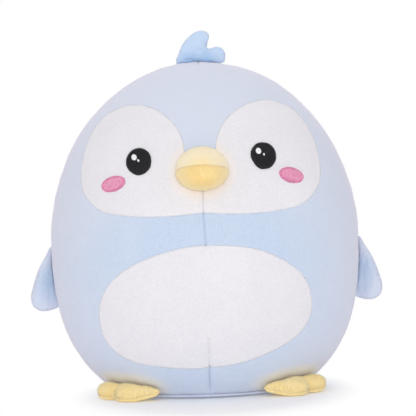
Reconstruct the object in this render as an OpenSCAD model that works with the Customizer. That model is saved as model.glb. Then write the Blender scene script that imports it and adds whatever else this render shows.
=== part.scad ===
// Plush penguin: a stuffed round body with a set-in white face and belly, a stuffed beak,
// embroidered eyes and cheeks, and a tuft, wings and feet that flex at the seams that hold them.
// Millimetres, Z up. The toy faces -Y and stands on z = 0 with the origin under its middle.
// Left and right are the toy's own, so left is +X.

/* [Body] */
// Width of the body across its widest level
body_w = 254; // [220:1:290]
// Depth of the body from front to back
body_d = 208; // [180:1:240]
// Height of the crown above the floor
body_h = 270.5; // [255:0.5:290]
// Height of the widest level
widest_z = 124; // [120:1:130]
// Width that the body keeps where it meets the base
base_w = 148; // [130:1:160]
// Squareness of the lower half, where 2 is an ellipse
lower_power = 2.55; // [2.2:0.05:2.8]
// Thickness of the plush fabric
fabric_t = 1.8; // [1.2:0.1:2.4]
// Thickness of the flat base panel
base_t = 3; // [2:0.5:4]

/* [Face] */
// Distance from the middle to each eye
eye_x = 48.3; // [44:0.1:52]
// Height of the eyes
eye_z = 189.4; // [184:0.1:195]
// Width and height of an eye
eye_size = [18.8, 21.2]; // [14:0.2:24]
// Lean of the eyes towards each other, in degrees
eye_lean = 10; // [0:1:20]
// Distance from the middle to each cheek
cheek_x = 69.3; // [66:0.1:72]
// Height of the cheeks
cheek_z = 173.4; // [171:0.1:176]
// Width and height of a cheek
cheek_size = [19.6, 12]; // [8:0.2:22]
// Droop of the outer end of a cheek, in degrees
cheek_lean = 17; // [0:1:25]
// Width, depth and height of the beak
beak_size = [41, 27, 34]; // [20:1:46]
// Height of the middle of the beak
beak_z = 181.5; // [179:0.5:184]

/* [Belly] */
// Width and height of the belly patch
belly_size = [166, 96]; // [80:1:170]
// Height of the middle of the belly patch
belly_z = 74.5; // [73:0.5:77]
// Tilt of the belly patch, in degrees
belly_tilt = 4; // [-5:1:5]

/* [Tuft, wings and feet] */
// Thickness of the tuft
tuft_t = 9; // [6:0.5:11]
// How far the tuft bends forwards or back, in degrees
tuft_swing = 35; // [10:1:40]
// Thickness of a wing
wing_t = 12; // [8:0.5:14]
// How far a wing swings forwards or back, in degrees
wing_swing = 60; // [20:1:60]
// Height of a foot
foot_h = 14.5; // [10:0.5:16]
// How far the toes lift, in degrees
foot_lift = 7; // [3:1:9]
// Angle that the feet turn out, in degrees
foot_turn = 39; // [35:1:43]

/* [Hidden] */

seam_gap = 0.15;       // each sewn edge stops this far from the seam line
fill_gap = 0.7;        // play between a padded piece's fabric and its filling
body_fill_gap = 1.5;   // the same between the body's panels and the filling behind them
trim_lift = 0.25;      // what is sewn on the face stands this far off the body's curve
hinge_lift = 0.9;      // a hinge line stands this far off the body's curve
thin_edge = 0.5;       // half thickness of a padded piece at its sewn edge
hem_z = base_t + 0.2;  // height of the lower edge of the side panels

// Half width, half height and drop of the body's outline
half_w = body_w / 2;
half_d = body_d / 2;
upper_rise = body_h - widest_z;
base_share = base_w / body_w;
lower_drop = widest_z / pow(1 - pow(base_share, lower_power), 1 / lower_power);

// ---- The body's surface: a unit vector P names a place on it ----

// Share of the full width that the body has at height z
function share(z) = z >= widest_z
    ? sqrt(max(0, 1 - pow((z - widest_z) / upper_rise, 2)))
    : pow(1 - pow((widest_z - z) / lower_drop, lower_power), 1 / lower_power);

// Point of the body at P, sunk by depth under its surface
function on_body(P, depth = 0) = [
    (half_w - depth) * P.x,
    (half_d - depth) * P.y,
    P.z >= 0
        ? widest_z + (upper_rise - depth) * P.z
        : widest_z - (lower_drop - depth)
            * pow(1 - pow(1 - P.z * P.z, lower_power / 2), 1 / lower_power)
];

// The place that is seen at (x, z) from the front
function facing(x, z) =
    let (s = share(z), X = x / half_w)
    [X, -sqrt(max(0, s * s - X * X)), sign(z - widest_z) * sqrt(1 - s * s)];

// Height of the body's underside over a point of the floor
function under(x, y) =
    let (s = norm([x / half_w, y / half_d]))
    s <= base_share ? 0 : widest_z - lower_drop
        * pow(max(0, 1 - pow(s, lower_power)), 1 / lower_power);

function between(P, Q, t) = let (v = P * (1 - t) + Q * t) v / norm(v);
function pulled(P, centre, gap) = between(P, centre, gap / (half_w * norm(P - centre)));
function mirrored(P) = [-P.x, P.y, P.z];
function reversed(list) = [for (i = [len(list) - 1 : -1 : 0]) list[i]];

hem_lat = -acos(share(hem_z));
function at_lat(lat, lon) = [cos(lat) * sin(lon), -cos(lat) * cos(lon), sin(lat)];

// Points of a smooth curve between q and r, with p before them and s after
function bend(p, q, r, s, t) = 0.5 * (2 * q + (r - p) * t + (2 * p - 5 * q + 4 * r - s) * t * t
    + (3 * q - p - 3 * r + s) * t * t * t);
function open_curve(points, steps) =
    let (n = len(points))
    concat([for (i = [0 : n - 2]) for (k = [0 : steps - 1])
        bend(points[max(0, i - 1)], points[i], points[i + 1], points[min(n - 1, i + 2)], k / steps)],
        [points[n - 1]]);
function closed_curve(points, steps) =
    let (n = len(points))
    [for (i = [0 : n - 1]) for (k = [0 : steps - 1])
        bend(points[(i + n - 1) % n], points[i], points[(i + 1) % n], points[(i + 2) % n], k / steps)];

// ---- Closed solids from rings and from sheets of points ----

function mean(ring) = [for (p = ring) 1 / len(ring)] * ring;

// A solid whose faces all turn outwards, whichever way they were listed
module solid(points, faces) {
    volumes = [for (f = faces) points[f[0]] * cross(points[f[1]], points[f[2]])];
    outward = volumes * [for (f = faces) 1] > 0;
    polyhedron(points, outward ? [for (f = faces) reversed(f)] : faces);
}

// Closed rings joined one to the next, with both end rings filled in
module loft(rings) {
    n = len(rings[0]);
    last = len(rings) - 1;
    middle = n * len(rings);
    sides = [for (i = [0 : last - 1]) for (j = [0 : n - 1])
        let (a = i * n + j, b = i * n + (j + 1) % n)
        each [[a, b, b + n], [a, b + n, a + n]]];
    caps = [for (j = [0 : n - 1])
        let (k = (j + 1) % n)
        each [[middle, k, j], [middle + 1, last * n + j, last * n + k]]];
    solid(concat([for (r = rings) each r], [mean(rings[0]), mean(rings[last])]), concat(sides, caps));
}

// The space between two lists of points that share their four-sided cells, with a wall down
// each edge of the rim. Cells and rim edges run anticlockwise as seen from outside.
module thick_sheet(outer, inner, cells, rim) {
    n = len(outer);
    skins = [for (c = cells)
        each [[c[0], c[1], c[2]], [c[0], c[2], c[3]],
              [n + c[0], n + c[2], n + c[1]], [n + c[0], n + c[3], n + c[2]]]];
    walls = [for (e = rim) each [[e[1], e[0], n + e[0]], [e[1], n + e[0], n + e[1]]]];
    solid(concat(outer, inner), concat(skins, walls));
}

// Cells and rim of a grid, whose points are counted row by row
function grid_cells(rows, cols) = [for (i = [0 : rows - 2]) for (j = [0 : cols - 2])
    let (a = i * cols + j) [a, a + 1, a + 1 + cols, a + cols]];
function grid_ends(rows, cols) =
    let (last = (rows - 1) * cols)
    [for (j = [0 : cols - 2]) each [[j, j + 1], [last + j + 1, last + j]]];
function grid_sides(rows, cols) = [for (i = [0 : rows - 2])
    each [[(i + 1) * cols, i * cols], [(i + 1) * cols - 1, (i + 2) * cols - 1]]];

// The space between two grids of points with the same rows and columns
module slab(outer, inner) {
    rows = len(outer);
    cols = len(outer[0]);
    thick_sheet([for (r = outer) each r], [for (r = inner) each r],
        grid_cells(rows, cols), concat(grid_ends(rows, cols), grid_sides(rows, cols)));
}

// Fabric that lies on the body, from a sheet of places
module skin(sheet) {
    slab([for (row = sheet) [for (P = row) on_body(P)]],
        [for (row = sheet) [for (P = row) on_body(P, fabric_t)]]);
}

// Fabric that lies on the body inside a closed edge
module patch(edge, centre) {
    ring_shares = [0.06, 0.35, 0.7, 1];
    inner = [for (t = ring_shares) [for (P = edge) on_body(between(centre, P, t), fabric_t)]];
    outer = [for (t = reversed(ring_shares)) [for (P = edge) on_body(between(centre, P, t))]];
    loft(concat(inner, outer));
}

// Embroidered pad that lies on the body inside a closed edge, from the lift of its underside up
module pad(edge, lift, height) {
    centre = facing(mean(edge)[0], mean(edge)[1]);
    places = [for (p = edge) facing(p[0], p[1])];
    steps = [[0.1, 0], [0.6, 0], [1, 0], [1, 0.6], [0.85, 1], [0.1, 1]];
    loft([for (s = steps) [for (P = places)
        on_body(between(centre, P, s[0]), -lift - s[1] * height)]]);
}

function oval(centre, size, lean, sides) = [for (i = [0 : sides - 1])
    let (u = size[0] / 2 * cos(360 * i / sides), v = size[1] / 2 * sin(360 * i / sides))
    [centre[0] + u * cos(lean) - v * sin(lean), centre[1] + u * sin(lean) + v * cos(lean)]];

module on_side(side) {
    if (side > 0) children();
    else mirror([1, 0, 0]) children();
}

// ---- Body: one front panel, two back panels, the base and the filling ----

// Half of the face patch: along its lower edge, round the cheek, over the brow and down the
// blue wedge to its tip behind the beak
face_corners = [
    [0, 147.7], [30, 145.8], [58, 147.2], [80, 152.6], [93, 168], [94, 187], [88, 209],
    [75, 227], [53, 234.3], [33, 228.8], [19.5, 217], [13, 203], [11, 189], [0, 177]
];
face_steps = 2;
face_edge = [for (p = open_curve(face_corners, face_steps)) facing(p[0], p[1])];
face_centre = facing(50, 188);

belly_power = 2.15;
belly_centre = facing(0, belly_z);
// Place on the belly patch's edge in the direction at this angle from its middle
function belly_edge(angle) =
    let (c = abs(cos(angle - belly_tilt)) / belly_size[0],
        s = abs(sin(angle - belly_tilt)) / belly_size[1],
        r = pow(pow(c, belly_power) + pow(s, belly_power), -1 / belly_power) / 2)
    facing(r * cos(angle), belly_z + r * sin(angle));
function mirrored_angle(angle, side) = side > 0 ? angle : 180 - angle;

// Angles round the right half of the belly patch: over the base, beside the side seam, and
// below the face patch, where each angle faces one point of the face patch's lower edge
base_rows = 6;
low_angles = concat([for (k = [0 : base_rows]) -90 + 68 * k / base_rows], [-10, 2.5]);
top_angles = [90, 73, 57, 44, 32, 23, 15];
belly_angles = concat(low_angles, reversed(top_angles));
chest_cols = len(top_angles) - 1;
chest_rows = 3;
chest_end_z = 141;     // height on the side seam of the row from the chest's upper outer corner
// Latitudes on the side seam of the rows from the face patch's corners beyond the chest
brow_lats = [7, 16.5, 27, 40, 53, 64, 74, 81, 85, 88, 90];

// Chest of one half: columns from the belly patch up to the face patch, out from the middle
function chest_place(side, k, l) =
    let (low = belly_edge(mirrored_angle(top_angles[k], side)),
        high = side > 0 ? face_edge[k] : mirrored(face_edge[k]),
        a = on_body(pulled(low, high, seam_gap)), b = on_body(pulled(high, low, seam_gap)),
        t = l / chest_rows)
    beside(facing(a.x + (b.x - a.x) * t, a.z + (b.z - a.z) * t), side);

function brow_lat(i) =
    lookup((i - chest_cols) / face_steps, [for (k = [0 : len(brow_lats) - 1]) [k, brow_lats[k]]]);
function side_place(side, z) = facing(side * half_w * share(z), z);

// Rows of one half of the front panel, each from its inner edge to its outer edge: round the
// belly patch to the base and the side seam, up the chest's outer end, then round the face patch
function front_ends(side) =
    let (low_count = len(low_angles), side_steps = low_count - base_rows + chest_rows,
        step = (chest_end_z - hem_z) / side_steps)
    concat(
        [for (k = [0 : low_count - 1])
            [belly_edge(mirrored_angle(low_angles[k], side)),
             k <= base_rows ? at_lat(hem_lat, side * 90 * k / base_rows)
                            : side_place(side, hem_z + step * (k - base_rows))]],
        [for (l = [0 : chest_rows])
            [chest_place(side, chest_cols, l),
             side_place(side, hem_z + step * (low_count - base_rows + l))]],
        [for (i = [chest_cols + 1 : len(face_edge) - 1])
            [side > 0 ? face_edge[i] : mirrored(face_edge[i]), at_lat(brow_lat(i), side * 90)]]);

front_cols = 8;
// A place kept clear of the seam down the middle and of the side seam
function beside(P, side) =
    let (v = [side * max(side * P.x, seam_gap / half_w), min(P.y, -seam_gap / half_d), P.z])
    v / norm(v);
// Places along a row that runs straight when it is seen from the front, and that lie closer
// together in that view towards the side seam, where the body turns away
function front_row(ends) =
    let (a = on_body(pulled(ends[0], ends[1], seam_gap)), b = on_body(ends[1]))
    [for (j = [0 : front_cols])
        let (t = sin(90 * j / front_cols)) facing(a.x + (b.x - a.x) * t, a.z + (b.z - a.z) * t)];
function front_half(side) =
    let (ends = front_ends(side))
    [for (i = [0 : len(ends) - 2]) [for (P = front_row(ends[i])) beside(P, side)]];

module front_panel() {
    crown = [for (P = front_row([face_edge[len(face_edge) - 1], [0, 0, 1]]))
        [0, min(P.y, -seam_gap / half_d), P.z]];
    grid = concat(front_half(1), [crown], reversed(front_half(-1)));
    rows = len(grid);
    cols = front_cols + 1;
    chest = [for (side = [1, -1]) for (k = [0 : chest_cols - 1]) for (l = [0 : chest_rows])
        chest_place(side, k, l)];
    places = concat([for (row = grid) each row], chest);
    // Number of a place of the chest, whose outer end is the inner end of the grid's rows
    function chest_at(side, k, l) =
        let (row = len(low_angles) + l)
        k == chest_cols ? (side > 0 ? row : rows - 1 - row) * cols
        : rows * cols + ((side > 0 ? 0 : chest_cols) + k) * (chest_rows + 1) + l;
    function round_to(side, list) = side > 0 ? list : reversed(list);
    chest_cells = [for (side = [1, -1]) for (k = [0 : chest_cols - 1]) for (l = [0 : chest_rows - 1])
        round_to(side, [chest_at(side, k, l), chest_at(side, k + 1, l),
            chest_at(side, k + 1, l + 1), chest_at(side, k, l + 1)])];
    chest_rim = [for (side = [1, -1]) each concat(
        [for (k = [0 : chest_cols - 1]) each [
            round_to(side, [chest_at(side, k, 0), chest_at(side, k + 1, 0)]),
            round_to(side, [chest_at(side, k + 1, chest_rows), chest_at(side, k, chest_rows)])]],
        [for (l = [0 : chest_rows - 1])
            round_to(side, [chest_at(side, 0, l + 1), chest_at(side, 0, l)])])];
    joined = [for (side = [1, -1]) for (l = [0 : chest_rows - 1])
        round_to(side, [chest_at(side, chest_cols, l + 1), chest_at(side, chest_cols, l)])];
    sides = [for (e = grid_sides(rows, cols)) if (len([for (c = joined) if (c == e) 1]) == 0) e];
    color("#c8d8ec") thick_sheet(
        [for (P = places) on_body(P)], [for (P = places) on_body(P, fabric_t)],
        concat(grid_cells(rows, cols), chest_cells),
        concat(grid_ends(rows, cols), sides, chest_rim));
}

back_rows = 12;
back_cols = 8;
crown_lat = 88.6;
module back_panel(side) {
    sheet = [for (i = [0 : back_rows]) [for (j = [0 : back_cols])
        let (P = at_lat(hem_lat + (crown_lat - hem_lat) * i / back_rows, 90 + 90 * j / back_cols),
            v = [max(P.x, seam_gap / half_w), max(P.y, seam_gap / half_d), P.z])
        v / norm(v)]];
    color("#c8d8ec") on_side(side) skin(sheet);
}

module base_panel() {
    edge = [for (a = [0 : 5 : 355]) share(hem_z) * [half_w * cos(a), half_d * sin(a)]];
    color("#bccde4") linear_extrude(base_t) polygon(edge);
}

filling_rows = 11;
filling_sides = 30;
module body_filling() {
    depth = fabric_t + body_fill_gap;
    rings = [for (i = [0 : filling_rows])
        [for (k = [0 : filling_sides - 1])
            on_body(at_lat(hem_lat + (89 - hem_lat) * i / filling_rows, 360 * k / filling_sides), depth)]];
    foot = [for (p = rings[0]) [0.96 * p.x, 0.96 * p.y, base_t + fill_gap]];
    color("#f4f4f2") loft(concat([foot], rings));
}

// ---- Face and belly patches ----

module face_patch(side) {
    seam = [for (k = [1 : 4])
        facing(0, lookup(k / 5, [[0, face_corners[len(face_corners) - 1][1]], [1, face_corners[0][1]]]))];
    edge = concat(face_edge, seam);
    color("#ecebf2") on_side(side)
        patch([for (P = edge) beside(pulled(P, face_centre, seam_gap), 1)], face_centre);
}

module belly_patch() {
    edge = concat(
        [for (a = belly_angles) belly_edge(a)],
        [for (i = [len(belly_angles) - 2 : -1 : 1]) belly_edge(mirrored_angle(belly_angles[i], -1))]);
    color("#ecebf2") patch([for (P = edge) pulled(P, belly_centre, seam_gap)], belly_centre);
}

// ---- Beak: two fabric halves that meet along a seam from corner to corner ----

beak_corner_z = beak_z - 2.5;
beak_seam = 15;    // angle that the seam rises to in front, from the line between the corners
beak_bands = 14;
beak_rows = 5;
filling_bands = 9;
// Point of the beak at this angle round the line between its corners and this share along it,
// sunk by depth under its surface
function on_beak(angle, along, depth = 0) =
    let (height = beak_size[2] / 2 + (angle > 0 ? 1 : -1) * (beak_z - beak_corner_z) - depth,
        x = (beak_size[0] / 2 - depth) * sin(along),
        z = beak_corner_z + height * cos(along) * sin(angle),
        out = (beak_size[1] - depth) * cos(along) * cos(angle))
    on_body(facing(x, z), -trim_lift) - [0, out, 0];
function beak_sheet(from, to, depth) =
    [for (i = [0 : beak_bands]) [for (j = [0 : beak_rows])
        on_beak(from + (to - from) * j / beak_rows, -86 + 172 * i / beak_bands, depth)]];

module beak_half(from, to) slab(beak_sheet(from, to, 0), beak_sheet(from, to, fabric_t));
module beak_upper() color("#f4e2b0") beak_half(beak_seam + 0.4, 90);
module beak_lower() color("#f6d790") beak_half(-90, beak_seam - 0.4);
module beak_filling() {
    depth = fabric_t + fill_gap;
    front = [for (i = [0 : filling_bands]) [for (j = [0 : filling_bands])
        on_beak(-84 + 168 * j / filling_bands, -80 + 160 * i / filling_bands, depth)]];
    back = [for (row = front) [for (p = row) on_body(facing(p.x, p.z), -2 * trim_lift)]];
    color("#f4f4f2") slab(front, back);
}

// ---- Embroidered eyes and cheeks ----

eye_lift = 1.2;
shine_lift = 0.6;
module eye(side)
    color("#29272e") on_side(side)
        pad(oval([eye_x, eye_z], eye_size, eye_lean, 24), trim_lift, eye_lift);

// The two stitched lights stand up and to the same side of both eyes
module eye_highlights(side)
    color("#fbfbfb") for (light = [[-3.9, 3.6, 4.4], [-0.8, 0.6, 2.2]])
        pad(oval([side * eye_x + light[0], eye_z + light[1]], [light[2], light[2]], 0, 10),
            trim_lift + eye_lift + 0.1, shine_lift);

module cheek(side)
    color("#e49bba") on_side(side)
        pad(oval([cheek_x, cheek_z], cheek_size, -cheek_lean, 24), trim_lift, eye_lift);

// ---- Padded pieces: two fabric halves over a filling ----

case_t = 1.2;
swing_room = 0.7;      // share of the room beside its hinge that a piece fills when it bends fully
case_shares = [0.1, 0.5, 0.82, 1];
filling_shares = [0.1, 0.65, 1];
function toward(p, centre, share) = centre + (p - centre) * share;
function inset(edge, centre, by) = [for (p = edge) toward(p, centre, 1 - by / norm(p - centre))];

// A fabric half over a closed edge, hollow underneath. rise gives its height at a point and at
// its share of the way out from the centre.
module case_half(edge, centre, rise) {
    inner_edge = inset(edge, centre, case_t);
    inner = [for (s = case_shares) [for (p = inner_edge)
        let (q = toward(p, centre, s)) [q.x, q.y, max(seam_gap, rise(q, s) - case_t)]]];
    rim = [for (p = edge) [p.x, p.y, seam_gap]];
    outer = [for (s = reversed(case_shares)) [for (p = edge)
        let (q = toward(p, centre, s)) [q.x, q.y, rise(q, s)]]];
    loft(concat(inner, [rim], outer));
}

// The filling of two such halves put together
module case_filling(edge, centre, rise) {
    inner_edge = inset(edge, centre, case_t + fill_gap);
    half = [for (s = filling_shares) [for (p = inner_edge)
        let (q = toward(p, centre, s))
        [q.x, q.y, max(0.1, rise(q, s) - case_t - fill_gap)]]];
    under_half = [for (ring = half) [for (p = ring) [p.x, p.y, -p.z]]];
    loft(concat(under_half, reversed(half)));
}

// ---- Tuft: a tall lobe and a short one, held in the crown seam ----

tuft_clear = 0.6;
function crown_z(x) = widest_z + upper_rise * sqrt(1 - pow(x / half_w, 2));
tuft_corners = [
    [-18.4, 270], [-17.4, 276], [-12.2, 287], [-4, 294.6], [3, 296.8], [8.6, 294.8], [10, 290.4],
    [7.6, 284.6], [7.4, 280.2], [11.5, 281.6], [15.8, 282.9], [20.6, 281], [22.8, 276.2], [21.6, 270]
];
tuft_centre = [2, 275.5];
tuft_edge = concat(
    open_curve(tuft_corners, 2),
    [for (x = [18, 12, 4, -4, -12, -16]) [x, crown_z(x) + tuft_clear]]);
tuft_rise = function (p, s) min(
    thin_edge + (tuft_t / 2 - thin_edge) * sqrt(1 - s * s),
    thin_edge + swing_room / tan(tuft_swing) * max(0, p[1] - crown_z(0) - 1));

module tuft_front() color("#c5d6ed") rotate([90, 0, 0]) case_half(tuft_edge, tuft_centre, tuft_rise);
module tuft_back() color("#c5d6ed") mirror([0, 1, 0]) rotate([90, 0, 0])
    case_half(tuft_edge, tuft_centre, tuft_rise);
module tuft_filling() color("#f4f4f2") rotate([90, 0, 0])
    case_filling(tuft_edge, tuft_centre, tuft_rise);

// ---- Wings: flippers held along the side seams ----

wing_corners = [
    [0.6, 120.5], [5.2, 114], [10.6, 106], [14.6, 96.5], [16.8, 89], [19, 81], [17, 73.4],
    [9.5, 69.4], [1.5, 70.6], [-1.6, 76], [0, 86], [0.4, 104]
];
wing_centre = [9, 86];
wing_edge = closed_curve(wing_corners, 2);
wing_rise = function (p, s) min(
    thin_edge + (wing_t / 2 - thin_edge) * sqrt(1 - s * s),
    thin_edge + swing_room / tan(wing_swing) * max(0, p[0]));
module at_wing(side) on_side(side) translate([half_w + hinge_lift, 0, 0]) children();

module wing_front(side) color("#bfcce4") at_wing(side) rotate([90, 0, 0])
    case_half(wing_edge, wing_centre, wing_rise);
module wing_back(side) color("#bfcce4") at_wing(side) mirror([0, 1, 0]) rotate([90, 0, 0])
    case_half(wing_edge, wing_centre, wing_rise);
module wing_filling(side) color("#f4f4f2") at_wing(side) rotate([90, 0, 0])
    case_filling(wing_edge, wing_centre, wing_rise);

// ---- Feet: two toes each, held at the heel by the base seam ----

floor_gap = 0.2;
sole_t = 1.2;
foot_rim = 3.2;
foot_clear = 0.8;      // room over the heel, below the body
heel_at = share(hem_z) * [half_w, -half_d] * sqrt(0.5);
foot_corners = [
    [-24, 4], [-23, 10.5], [-16, 20.5], [-6, 27.5], [3, 27], [8.5, 22], [15, 24], [24, 23.5],
    [31, 16.5], [28.5, 8], [19, 3.8], [0, 2.4]
];
foot_centre = [4, 13];
foot_edge = closed_curve(foot_corners, 2);
// Where a point of the foot's plan, along the heel seam and out from it, lies on the floor
function foot_place(p) = heel_at
    + p[0] * [cos(foot_turn), sin(foot_turn)] + p[1] * [sin(foot_turn), -cos(foot_turn)];
function foot_top_z(p, s) =
    let (w = foot_place(p), clear = foot_clear + 1.7 * p[1] * tan(foot_lift))
    min(foot_rim + (foot_h - foot_rim) * pow(1 - pow(s, 2.4), 0.5), under(w[0], w[1]) - clear);
function foot_ring(edge, s, z) = [for (p = edge)
    let (q = toward(p, foot_centre, s), w = foot_place(q)) [w[0], w[1], z(q, s)]];
sole_z = floor_gap + sole_t;

module foot_top(side) {
    low = sole_z + 0.1;
    inner_z = function (q, s) max(low, foot_top_z(q, s) - case_t);
    inner = [for (s = case_shares) foot_ring(inset(foot_edge, foot_centre, case_t), s, inner_z)];
    rim = foot_ring(foot_edge, 1, function (q, s) low);
    outer = [for (s = reversed(case_shares)) foot_ring(foot_edge, s, function (q, s) foot_top_z(q, s))];
    color("#f5e0aa") on_side(side) loft(concat(inner, [rim], outer));
}

module foot_sole(side) color("#f0d898") on_side(side) translate([0, 0, floor_gap])
    linear_extrude(sole_t) polygon([for (p = foot_edge) foot_place(p)]);

module foot_filling(side) {
    low = sole_z + fill_gap;
    edge = inset(foot_edge, foot_centre, case_t + 3.5);
    top_z = function (q, s) max(low + 0.3, foot_top_z(q, s) - case_t - fill_gap);
    under_half = [for (s = filling_shares) foot_ring(edge, s, function (q, s) low)];
    half = [for (s = reversed(filling_shares)) foot_ring(edge, s, top_z)];
    color("#f4f4f2") on_side(side) loft(concat(under_half, half));
}

front_panel();
back_panel(1);  // back_panel_left
back_panel(-1);  // back_panel_right
base_panel();
body_filling();
face_patch(1);  // face_patch_left
face_patch(-1);  // face_patch_right
belly_patch();
beak_upper();
beak_lower();
beak_filling();
eye(1);  // eye_left
eye(-1);  // eye_right
eye_highlights(1);  // eye_highlights_left
eye_highlights(-1);  // eye_highlights_right
cheek(1);  // cheek_left
cheek(-1);  // cheek_right
tuft_front();
tuft_back();
tuft_filling();
wing_front(1);  // wing_front_left
wing_back(1);  // wing_back_left
wing_filling(1);  // wing_filling_left
wing_front(-1);  // wing_front_right
wing_back(-1);  // wing_back_right
wing_filling(-1);  // wing_filling_right
foot_top(1);  // foot_top_left
foot_sole(1);  // foot_sole_left
foot_filling(1);  // foot_filling_left
foot_top(-1);  // foot_top_right
foot_sole(-1);  // foot_sole_right
foot_filling(-1);  // foot_filling_right
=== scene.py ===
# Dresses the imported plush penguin: stuffed panels, pile, seams and embroidery. Metres, Z up, facing -Y.
import math, random
import bpy
import numpy as np
from mathutils import Matrix, Vector, kdtree, noise
from mathutils.geometry import delaunay_2d_cdt


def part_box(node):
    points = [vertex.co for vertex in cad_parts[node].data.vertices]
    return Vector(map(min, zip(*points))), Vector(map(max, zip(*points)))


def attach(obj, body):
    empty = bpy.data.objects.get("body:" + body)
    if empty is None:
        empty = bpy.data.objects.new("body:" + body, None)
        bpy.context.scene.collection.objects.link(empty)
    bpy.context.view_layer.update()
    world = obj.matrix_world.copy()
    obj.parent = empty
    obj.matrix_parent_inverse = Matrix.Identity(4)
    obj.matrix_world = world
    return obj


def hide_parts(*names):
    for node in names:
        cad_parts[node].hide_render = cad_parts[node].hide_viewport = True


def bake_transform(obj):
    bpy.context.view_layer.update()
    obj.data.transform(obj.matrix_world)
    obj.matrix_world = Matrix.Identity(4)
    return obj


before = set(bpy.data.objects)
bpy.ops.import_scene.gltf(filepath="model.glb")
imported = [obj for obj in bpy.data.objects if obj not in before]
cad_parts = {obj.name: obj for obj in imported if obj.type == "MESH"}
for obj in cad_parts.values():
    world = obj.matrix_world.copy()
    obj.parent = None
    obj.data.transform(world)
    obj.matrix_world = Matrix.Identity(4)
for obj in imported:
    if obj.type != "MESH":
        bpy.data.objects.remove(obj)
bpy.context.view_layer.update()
mm = 0.001
plainWhite = (1, 1, 1, 1)
bothSides = ((1, "left"), (-1, "right"))


def tint(r, g, b):
    # colour as it is picked on a screen, from 0 to 255, turned to a linear one
    return tuple((c / 255 / 12.92 if c <= 10 else ((c / 255 + 0.055) / 1.055) ** 2.4)
                 for c in (r, g, b)) + (1,)


def addObject(name, data):
    obj = bpy.data.objects.new(name, data)
    bpy.context.scene.collection.objects.link(obj)
    return obj


def newMesh(name, points, faces, edges=()):
    mesh = bpy.data.meshes.new(name)
    mesh.from_pydata([tuple(p) for p in points], list(edges), [tuple(int(i) for i in f) for f in faces])
    return mesh


def coordsOf(mesh):
    points = np.zeros(3 * len(mesh.vertices))
    mesh.vertices.foreach_get("co", points)
    return points.reshape(-1, 3)


def evaluated(obj):
    return obj.evaluated_get(bpy.context.evaluated_depsgraph_get())


def bakedMesh(carrier):
    # the mesh that an object's modifiers make of it; the object itself goes
    mesh, source = bpy.data.meshes.new_from_object(evaluated(carrier)), carrier.data
    bpy.data.objects.remove(carrier)
    bpy.data.meshes.remove(source)
    return mesh


def camelName(node):
    # a piece is called what its node is called
    words = node.split("_")
    return words[0] + "".join(word.capitalize() for word in words[1:])


# camera, light and floor

cameraLook = {
    "distance": 1.3, "height": 0.172, "across": 0.0036,   # where the lens is
    "aimHeight": 0.1494, "lens": 135.7, "roll": -2.1,
}
lightLook = {
    "world": 0.71,
    "key": {"place": (-0.4, -1.35, 0.75), "size": 1.2, "power": 2.9},
    "fill": {"place": (0.2, -1.4, 0.17), "size": 0.8, "power": 4.2},
    "top": {"place": (-0.05, 0.45, 1.2), "size": 0.9, "power": 3},
    "aim": (0, 0, 0.12),        # what all three lamps point at
    "floor": tint(240, 240, 243), "floorGlow": 0.1, "bounce": 0.13,
    "fade": {"centre": (0.005, -0.03, 0), "size": (0.106, 0.136, 1), "from": 0.7, "to": 1.15},
}


def aimed(place, aim):
    # stands at one point and looks at another
    place = Vector(place)
    return Matrix.Translation(place) @ (Vector(aim) - place).to_track_quat("-Z", "Y").to_matrix().to_4x4()


def makeCamera():
    look = cameraLook
    lens = bpy.data.cameras.new("camera")
    lens.lens, lens.sensor_width, lens.clip_start = look["lens"], 36, 0.05
    camera = addObject("camera", lens)
    turn = aimed((look["across"], -look["distance"], look["height"]),
                 (look["across"], 0, look["aimHeight"]))
    camera.matrix_world = turn @ Matrix.Rotation(math.radians(look["roll"]), 4, "Z")
    bpy.context.scene.camera = camera


def makeLamp(name):
    look = lightLook[name]
    lamp = bpy.data.lights.new(name, "AREA")
    lamp.shape, lamp.size, lamp.energy = "DISK", look["size"], look["power"]
    addObject(name, lamp).matrix_world = aimed(look["place"], lightLook["aim"])


def feed(tree, node, inputs):
    # links or sets the inputs that are given
    for key, value in inputs.items():
        if isinstance(value, bpy.types.NodeSocket):
            tree.links.new(value, node.inputs[key])
        else:
            node.inputs[key].default_value = value


def put(tree, kind, inputs=None, **settings):
    node = tree.nodes.new(kind)
    for key, value in settings.items():
        setattr(node, key, value)
    feed(tree, node, inputs or {})
    return node


def result(tree, kind, inputs=None, **settings):
    # the first output of a new node
    return put(tree, kind, inputs, **settings).outputs[0]


def maths(tree, operation, *values):
    return result(tree, "ShaderNodeMath", dict(enumerate(values)), operation=operation)


def vectors(tree, operation, *values):
    return put(tree, "ShaderNodeVectorMath", dict(enumerate(values)), operation=operation).outputs


def mixColour(tree, amount, a, b, blend="MIX"):
    return put(tree, "ShaderNodeMix", {0: amount, 6: a, 7: b}, data_type="RGBA",
               blend_type=blend).outputs[2]


def objectPlace(tree):
    return put(tree, "ShaderNodeTexCoord").outputs["Object"]


def noiseOver(tree, place, scale, detail=2.0, **more):
    return put(tree, "ShaderNodeTexNoise",
               {"Vector": place, "Scale": scale, "Detail": detail, **more}).outputs["Fac"]


def ramp(tree, value, low, high, toLow=0.0, toHigh=1.0, kind="LINEAR"):
    # runs from toLow to toHigh as the value goes from low to high
    return result(tree, "ShaderNodeMapRange", {"Value": value, "From Min": low, "From Max": high,
                  "To Min": toLow, "To Max": toHigh}, interpolation_type=kind)


def awayFrom(tree, place, centre, size):
    # distance from a centre, measured in the half widths of an oval
    aside = vectors(tree, "SUBTRACT", place, centre)[0]
    return vectors(tree, "LENGTH", vectors(tree, "DIVIDE", aside, size)[0])["Value"]


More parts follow.
